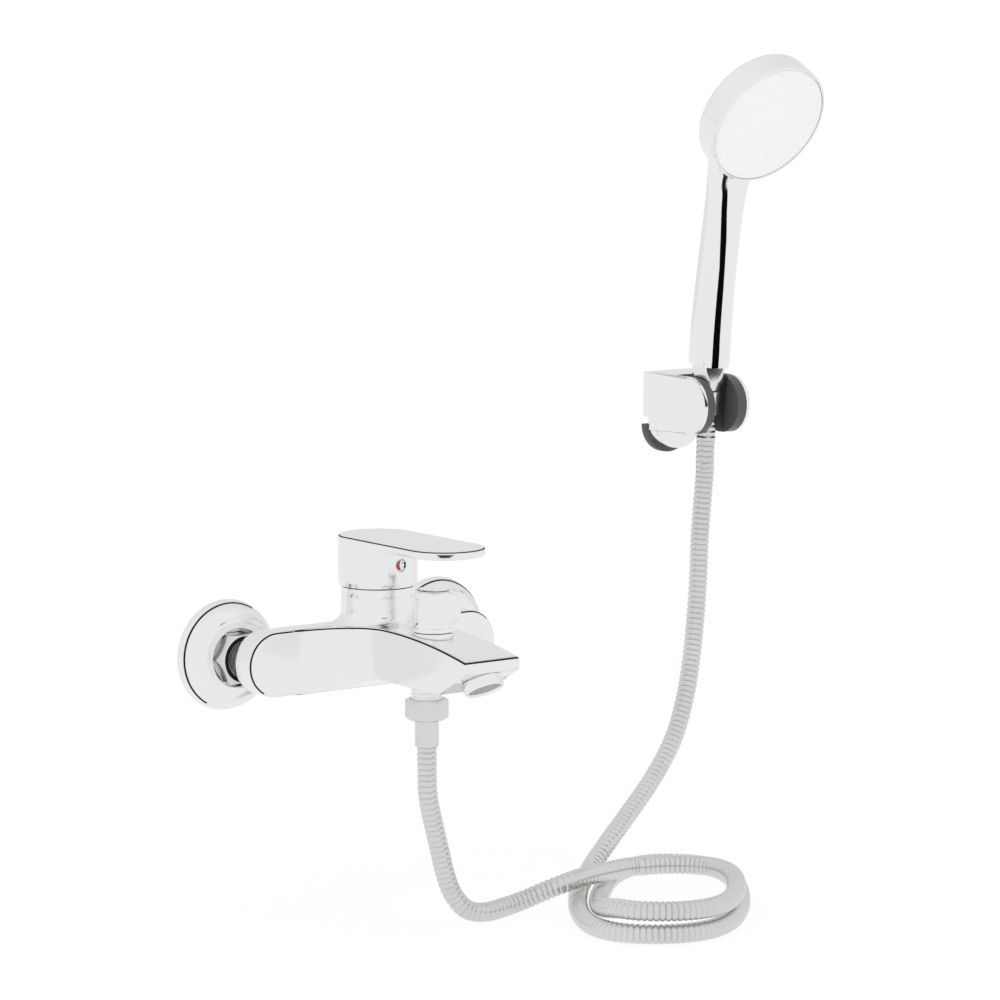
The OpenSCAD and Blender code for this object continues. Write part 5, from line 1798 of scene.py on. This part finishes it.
@dataclass
class Handset:
    """The hand shower: curved handle, round head, face with nozzles, and the hose's nut."""

    pivot: Point3 = (252.5, -42.0, 129.5)
    lean: float = 3.0
    face_at: Point3 = (252.5, -99.7, 303.2)
    face_turn: float = 120.0
    head_r: float = 40.0
    head_t: float = 18.6
    back_r: float = 3.0
    ring_t: float = 2.5
    plate_r: float = 38.3
    sleeve_low: float = -22.6
    rib: float = 3.3
    cup_corner: float = 10.9
    cup_low: float = 9.6
    cup_top: float = 25.5
    cup_turn: float = 14.0
    dark_span: Point2 = (8.45, 9.62)
    nozzle_rows: tuple[tuple[int, int], ...] = ((15, 10), (21, 15), (27, 19), (33, 24))
    handle_keys: tuple[tuple[float, float, float, float], ...] = (
        (0.0, 25.6, 12.5, 12.5), (-0.3, 34, 12.75, 12.75), (-1.0, 50, 12.6, 12.6), (-3.0, 75, 12.2, 12.2),
        (-5.7, 100, 11.9, 11.9), (-8.3, 120, 11.9, 11.9), (-10.2, 133, 12.4, 12.2), (-12.4, 144, 13.8, 12.4),
        (-16.0, 155, 17.0, 12.2), (-21.0, 165, 21.5, 10.5), (-27.5, 176, 22.5, 7.0),
    )

    @property
    def holder(self) -> Matrix:
        """The holder's frame."""
        return turned(self.pivot, self.lean)

    @property
    def face(self) -> Matrix:
        """The face's frame, with z out of the face."""
        return turned(self.face_at, self.face_turn)

    def handle_rings(self) -> list[Ring]:
        """Gives the handle's sections from the nut into the head.

        Returns:
            The sections, interpolated along a smooth line.
        """
        keys = self.handle_keys
        spots = Spline([Vector((0, y, z)) for y, z, _, _ in keys])
        sizes = Spline([Vector((w, d, 0)) for _, _, w, d in keys])
        rings = []
        steps = 6 * (len(keys) - 1)
        for k in range(steps + 1):
            u = k * (len(keys) - 1) / steps
            at = self.holder @ (spots.at(u) * MM) / MM
            rings.append(Ring(tuple(at), sizes.at(u).x, sizes.at(u).y))
        return rings

    def body(self, dresser: Dresser) -> None:
        """Builds the handle and the head as one shell.

        Args:
            dresser: Holds the finishes and puts pieces on their bodies.
        """
        head = [
            (0, -self.head_t), (self.head_r - self.back_r, -self.head_t),
            *arc((self.head_r - self.back_r, -self.head_t + self.back_r), self.back_r, -90, 0, 14),
            (self.head_r, -self.ring_t - 0.2), (self.head_r - 0.25, -self.ring_t),
            (self.plate_r, -self.ring_t), (self.plate_r, -6), (0, -6),
        ]
        piece = lathe("Handset_body", head, self.face, steps=160, closed=False)
        handle = loft("Handle", self.handle_rings(), 10.0, 96)
        combine(piece, handle, "UNION")
        tidy_mesh(piece, 0.01)
        smooth(piece, 40)
        dresser.dress(piece, Body.HANDSET, "chromed_plastic", "handset_body")

    def front(self, dresser: Dresser) -> None:
        """Builds the face ring, the spray plate and the nozzles.

        Args:
            dresser: Holds the finishes and puts pieces on their bodies.
        """
        r, lip = self.head_r, self.plate_r
        ring = fillet([
            (lip + 0.15, -self.ring_t), (r, -self.ring_t), (r, -0.9, 0.5), (r - 0.6, -0.15, 0.4),
            (lip + 0.5, 0, 0.2), (lip + 0.15, -0.3),
        ])
        dresser.dress(
            lathe("Face_ring", ring, self.face, steps=160), Body.HANDSET, "chromed_plastic", "face_ring",
        )
        plate = fillet(
            [
                (0, -5.6), (lip + 0.9, -5.6), (lip + 0.9, -2.6), (lip, -2.5), (lip, -0.7, 0.3),
                (lip - 0.8, -0.4, 0.3), (0, -0.4),
            ]
        )
        dresser.dress(
            lathe("Spray_plate", plate, self.face, steps=160, closed=False), Body.HANDSET,
            "white_plastic", "spray_plate",
        )
        stub = fillet(
            [(0, -1.2), (1.25, -1.2), (1.25, -0.5), (1.05, -0.1, 0.2), (0.7, 0.1, 0.2), (0, 0.1)], 2,
        )
        first = lathe("Spray_nozzles", stub, Matrix.Identity(4), steps=12, closed=False)
        copies = []
        for radius, count in self.nozzle_rows:
            for k in range(count):
                turn = math.radians(360 * k / count + 3 * radius)
                one = first.copy()
                one.data = first.data.copy()
                bpy.context.scene.collection.objects.link(one)
                spot = (radius * MM * math.cos(turn), radius * MM * math.sin(turn), 0)
                one.data.transform(self.face @ Matrix.Translation(spot))
                copies.append(one)
        bpy.data.objects.remove(first, do_unlink=True)
        pick(copies[0])
        for one in copies:
            one.select_set(True)
        bpy.ops.object.join()
        nozzles = bpy.context.object
        nozzles.name = "Spray_nozzles"
        dresser.dress(nozzles, Body.HANDSET, "nozzle_silicone", "spray_nozzles")

    def nut(self, dresser: Dresser) -> None:
        """Builds the hose's upper nut: a tapered hexagon over a dark ring and a cone.

        Args:
            dresser: Holds the finishes and puts pieces on their bodies.
        """
        at = self.holder
        low, top = self.cup_low, self.cup_top
        hexagon = at @ Matrix.Rotation(math.radians(self.cup_turn), 4, "Z")
        cup = rod("Hose_cone_nut", self.cup_corner, low, top, hexagon, 6)
        outline = fillet(
            [(0, low), (7.6, low), (9.6, 15.5, 4), (10.8, 22, 4), (11.0, 25.0), (10.5, top), (0, top)]
        )
        combine(cup, lathe("Cup_ends", outline, at, closed=False), "INTERSECT")
        cone = fillet(
            [(0, -6), (7.3, -6, 0.3), (7.9, 8.4, 0.3), (7.3, 8.6), (7.3, low), (7.6, 9.8), (0, 9.8)]
        )
        combine(cup, lathe("Cone", cone, at, closed=False), "UNION")
        tidy_mesh(cup, 0.01)
        smooth(cup, 25)
        dresser.dress(cup, Body.HANDSET, "satin_chrome", "hose_cone_nut")
        dresser.vary(cup, "pale")
        cup.data.materials.append(dresser.materials["dark_plastic"])
        back = at.inverted()
        paint_faces(cup, 1, lambda p: self.dark_span[0] < (back @ (p * MM) / MM).z < self.dark_span[1])
        outline = [(4.0, self.sleeve_low), (5.1, self.sleeve_low)]
        for k in range(5):
            foot = self.sleeve_low + k * self.rib
            outline += [
                (5.5, foot + 0.1 * self.rib), (5.95, foot + 0.3 * self.rib),
                (5.95, foot + 0.7 * self.rib), (5.1, foot + self.rib),
            ]
        outline += [(5.1, 10.0), (4.0, 10.0)]
        tail = lathe("Hose_sleeve_upper", outline, at, steps=64)
        dresser.dress(tail, Body.HANDSET, "ribbed_metal", "hose_sleeve_upper")

    def build(self, dresser: Dresser) -> None:
        """Builds all pieces of the handset.

        Args:
            dresser: Holds the finishes and puts pieces on their bodies.
        """
        self.body(dresser)
        self.front(dresser)
        self.nut(dresser)


# The hose


def length_of(line: Sequence[Vector]) -> float:
    """Adds up the length of a line."""
    return sum((b - a).length for a, b in zip(line, line[1:]))


@dataclass
class Hose:
    """The ribbed metal hose: two turns on the floor and a free stretch at each end."""

    radius: float = 5.75
    groove: float = 0.7
    pitch: float = 3.3
    outlet: Point3 = (0.0, -98.0, -47.7)
    pivot: Point3 = (252.5, -42.0, 129.5)
    lean: float = 3.0
    hose_end: float = -22.3
    straight: float = 12.0
    coil_mid: Point2 = (138.0, -144.0)
    coil_front: float = 80.5
    coil_r: float = 48.5
    coil_depth: float = 186.0
    coil_low: float = -150.0
    coil_step: float = 13.3
    coil_skew: float = 7.0
    turn_start: float = 62.0
    turn_end: float = 722.0
    coil_turn: float = 36.0
    narrowing: float = 8.5
    shortening: float = 64.0
    aside: float = 2.0
    drift: float = 3.5
    widens: Point2 = (370.0, 200.0)
    deepens: Point2 = (270.0, 170.0)
    sinks: Point2 = (302.0, 78.0)
    split: float = 11.5
    lower_points: tuple[Point3, ...] = (
        (0.8, -98, -78), (4.8, -98, -95), (8.8, -98, -110), (12.6, -98, -124), (17.5, -99, -137),
        (26, -101, -147),
        (38, -102.5, -150), (55, -100, -149.5), (67, -102.5, -146.6), (77, -108, -142), (88, -113.5, -137.6),
        (104.5, -112, -136),
    )
    riser_points: tuple[Point3, ...] = (
        (122, -85, -149), (141, -70, -143), (160, -64, -129.5), (177, -58, -119), (203, -51.5, -99),
        (222, -48, -77),
        (233.5, -45, -53.5), (241, -42, -29.7), (245.7, -40, -5), (249, -38.5, 19.5), (250.8, -37.5, 44.5),
        (252.5, -38, 69.5), (253.3, -39, 86),
    )
    pieces: dict[str, bpy.types.Object] = field(default_factory=dict)

    @staticmethod
    def change(turn: float, span: Point2) -> float:
        """Gives how far a change along the coil has come, from 0 to 1."""
        t = min(1.0, max(0.0, (turn - span[0]) / span[1]))
        return t * t * (3 - 2 * t)

    def coil_at(self, turn: float) -> Vector:
        """Gives the coil's line at a turn in degrees.

        Args:
            turn: Turn along the coil, in degrees.

        Returns:
            The place, in millimetres.
        """
        view = math.radians(self.coil_turn)
        right = Vector((math.cos(view), -math.sin(view)))
        back = Vector((math.sin(view), math.cos(view)))
        s, c = math.sin(math.radians(turn)), math.cos(math.radians(turn))
        opened = self.change(turn, self.widens)
        wide = self.coil_r - self.narrowing * (1 - opened)
        deep = self.coil_depth - self.shortening * (1 - self.change(turn, self.deepens))
        blunt = s * math.sqrt(2 / (s * s + 1))
        across = self.aside - self.drift * opened - wide * c + self.coil_skew * s
        flat = Vector(self.coil_mid) + right * across + back * (deep * (1 + blunt) / 2 - self.coil_front)
        return Vector((flat.x, flat.y, self.coil_low + self.coil_step * (1 - self.change(turn, self.sinks))))

    def heading(self, turn: float) -> Vector:
        """Gives the coil's direction at a turn in degrees."""
        return (self.coil_at(turn + 0.5) - self.coil_at(turn - 0.5)).normalized()

    def lines(self) -> dict[str, list[Vector]]:
        """Gives the centrelines of the four stretches, in millimetres.

        Returns:
            The lines by name: lower, coil, upper and top.
        """
        start, end = self.coil_at(self.turn_start), self.coil_at(self.turn_end)
        outlet = Vector(self.outlet)
        lower = Spline([
            outlet, outlet - Vector((0, 0, self.straight)), *map(Vector, self.lower_points),
            start - self.straight * self.heading(self.turn_start), start,
        ])
        lean = math.radians(self.lean)
        axis = Vector((0, -math.sin(lean), math.cos(lean)))
        pivot = Vector(self.pivot)
        riser = Spline([
            end, end + self.straight * self.heading(self.turn_end), *map(Vector, self.riser_points),
            pivot + (self.hose_end - self.straight) * axis, pivot + self.hose_end * axis,
        ])
        turns = [self.turn_start + (self.turn_end - self.turn_start) * k / 400 for k in range(401)]
        return {
            "lower": lower.run(0, len(lower.points) - 1, 240),
            "coil": [self.coil_at(t) for t in turns],
            "upper": riser.run(0, self.split, 240),
            "top": riser.run(self.split, len(riser.points) - 1, 100),
        }

    def rib(self, name: str, pitch: float) -> bpy.types.Object:
        """Models one rib as a turned ring along X, open at both ends.

        Args:
            name: Name of the piece.
            pitch: Length of the rib in millimetres.

        Returns:
            The rib, with its outer wall crowned between two grooves.
        """
        r, g = self.radius, self.groove
        wall = [
            (r - g, 0.0), (r - 0.62 * g, 0.1), (r - 0.16 * g, 0.2), (r, 0.42), (r - 0.03 * g, 0.66),
            (r - 0.3 * g, 0.86), (r - 0.85 * g, 0.94), (r - g, 1.0),
        ]
        outline = [(radius, share * pitch) for radius, share in wall]
        rib = lathe(name, outline, Matrix.Rotation(math.radians(90), 4, "Y"), steps=28, closed=False)
        return rib

    def stretch(self, name: str, line: Sequence[Vector]) -> bpy.types.Object:
        """Repeats the rib along a line.

        Args:
            name: Name of the piece.
            line: The centreline, in millimetres.

        Returns:
            The ribbed tube.
        """
        length = length_of(line)
        count = round(length / self.pitch)
        tube = self.rib(name, length / count)
        path = bpy.data.curves.new(name + "_path", "CURVE")
        path.dimensions = "3D"
        spline = path.splines.new("POLY")
        spline.points.add(len(line) - 1)
        for point, place in zip(spline.points, line):
            point.co = (*(place * MM), 1)
        guide = bpy.data.objects.new(name + "_path", path)
        bpy.context.scene.collection.objects.link(guide)
        array = tube.modifiers.new("ribs", "ARRAY")
        array.count = count
        array.use_relative_offset = False
        array.use_constant_offset = True
        array.constant_offset_displace = (length / count * MM, 0, 0)
        array.use_merge_vertices = True
        array.merge_threshold = 1e-5
        bend = tube.modifiers.new("bend", "CURVE")
        bend.object = guide
        bend.deform_axis = "POS_X"
        apply_all(tube)
        bpy.data.objects.remove(guide, do_unlink=True)
        tidy_mesh(tube)
        smooth(tube, 50)
        return tube

    def build(self, dresser: Dresser) -> None:
        """Args:
            dresser: Holds the finishes and puts pieces on their bodies.
        """
        lines = self.lines()
        for key, line in lines.items():
            self.pieces[key] = self.stretch("Hose_" + key, line)
        for key in ("lower", "coil"):
            dresser.dress(self.pieces[key], Body.MIXER, "ribbed_metal", "hose_" + key)
        for key, low, high in (("upper", Body.MIXER, Body.CRADLE), ("top", Body.CRADLE, Body.HANDSET)):
            piece, line = self.pieces[key], lines[key]
            dresser.paint(piece, "ribbed_metal")
            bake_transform(piece)
            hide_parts("hose_" + key)


def main() -> None:
    """Builds the scene in order."""
    logging.basicConfig(level=logging.INFO, format="%(message)s")
    studio = Studio()
    studio.build()
    dresser = Dresser(FINISHES)
    dresser.paint_nodes()
    WallFlange(-1, -32.0, 150.0).build(dresser)
    WallFlange(1, -80.0, 150.0).build(dresser)
    for part in (MixerBody(), Lever(), Diverter(), SpoutEnd(), Outlet(), Holder(), Handset(), Hose()):
        part.build(dresser)


if __name__ == "__main__":
    main()
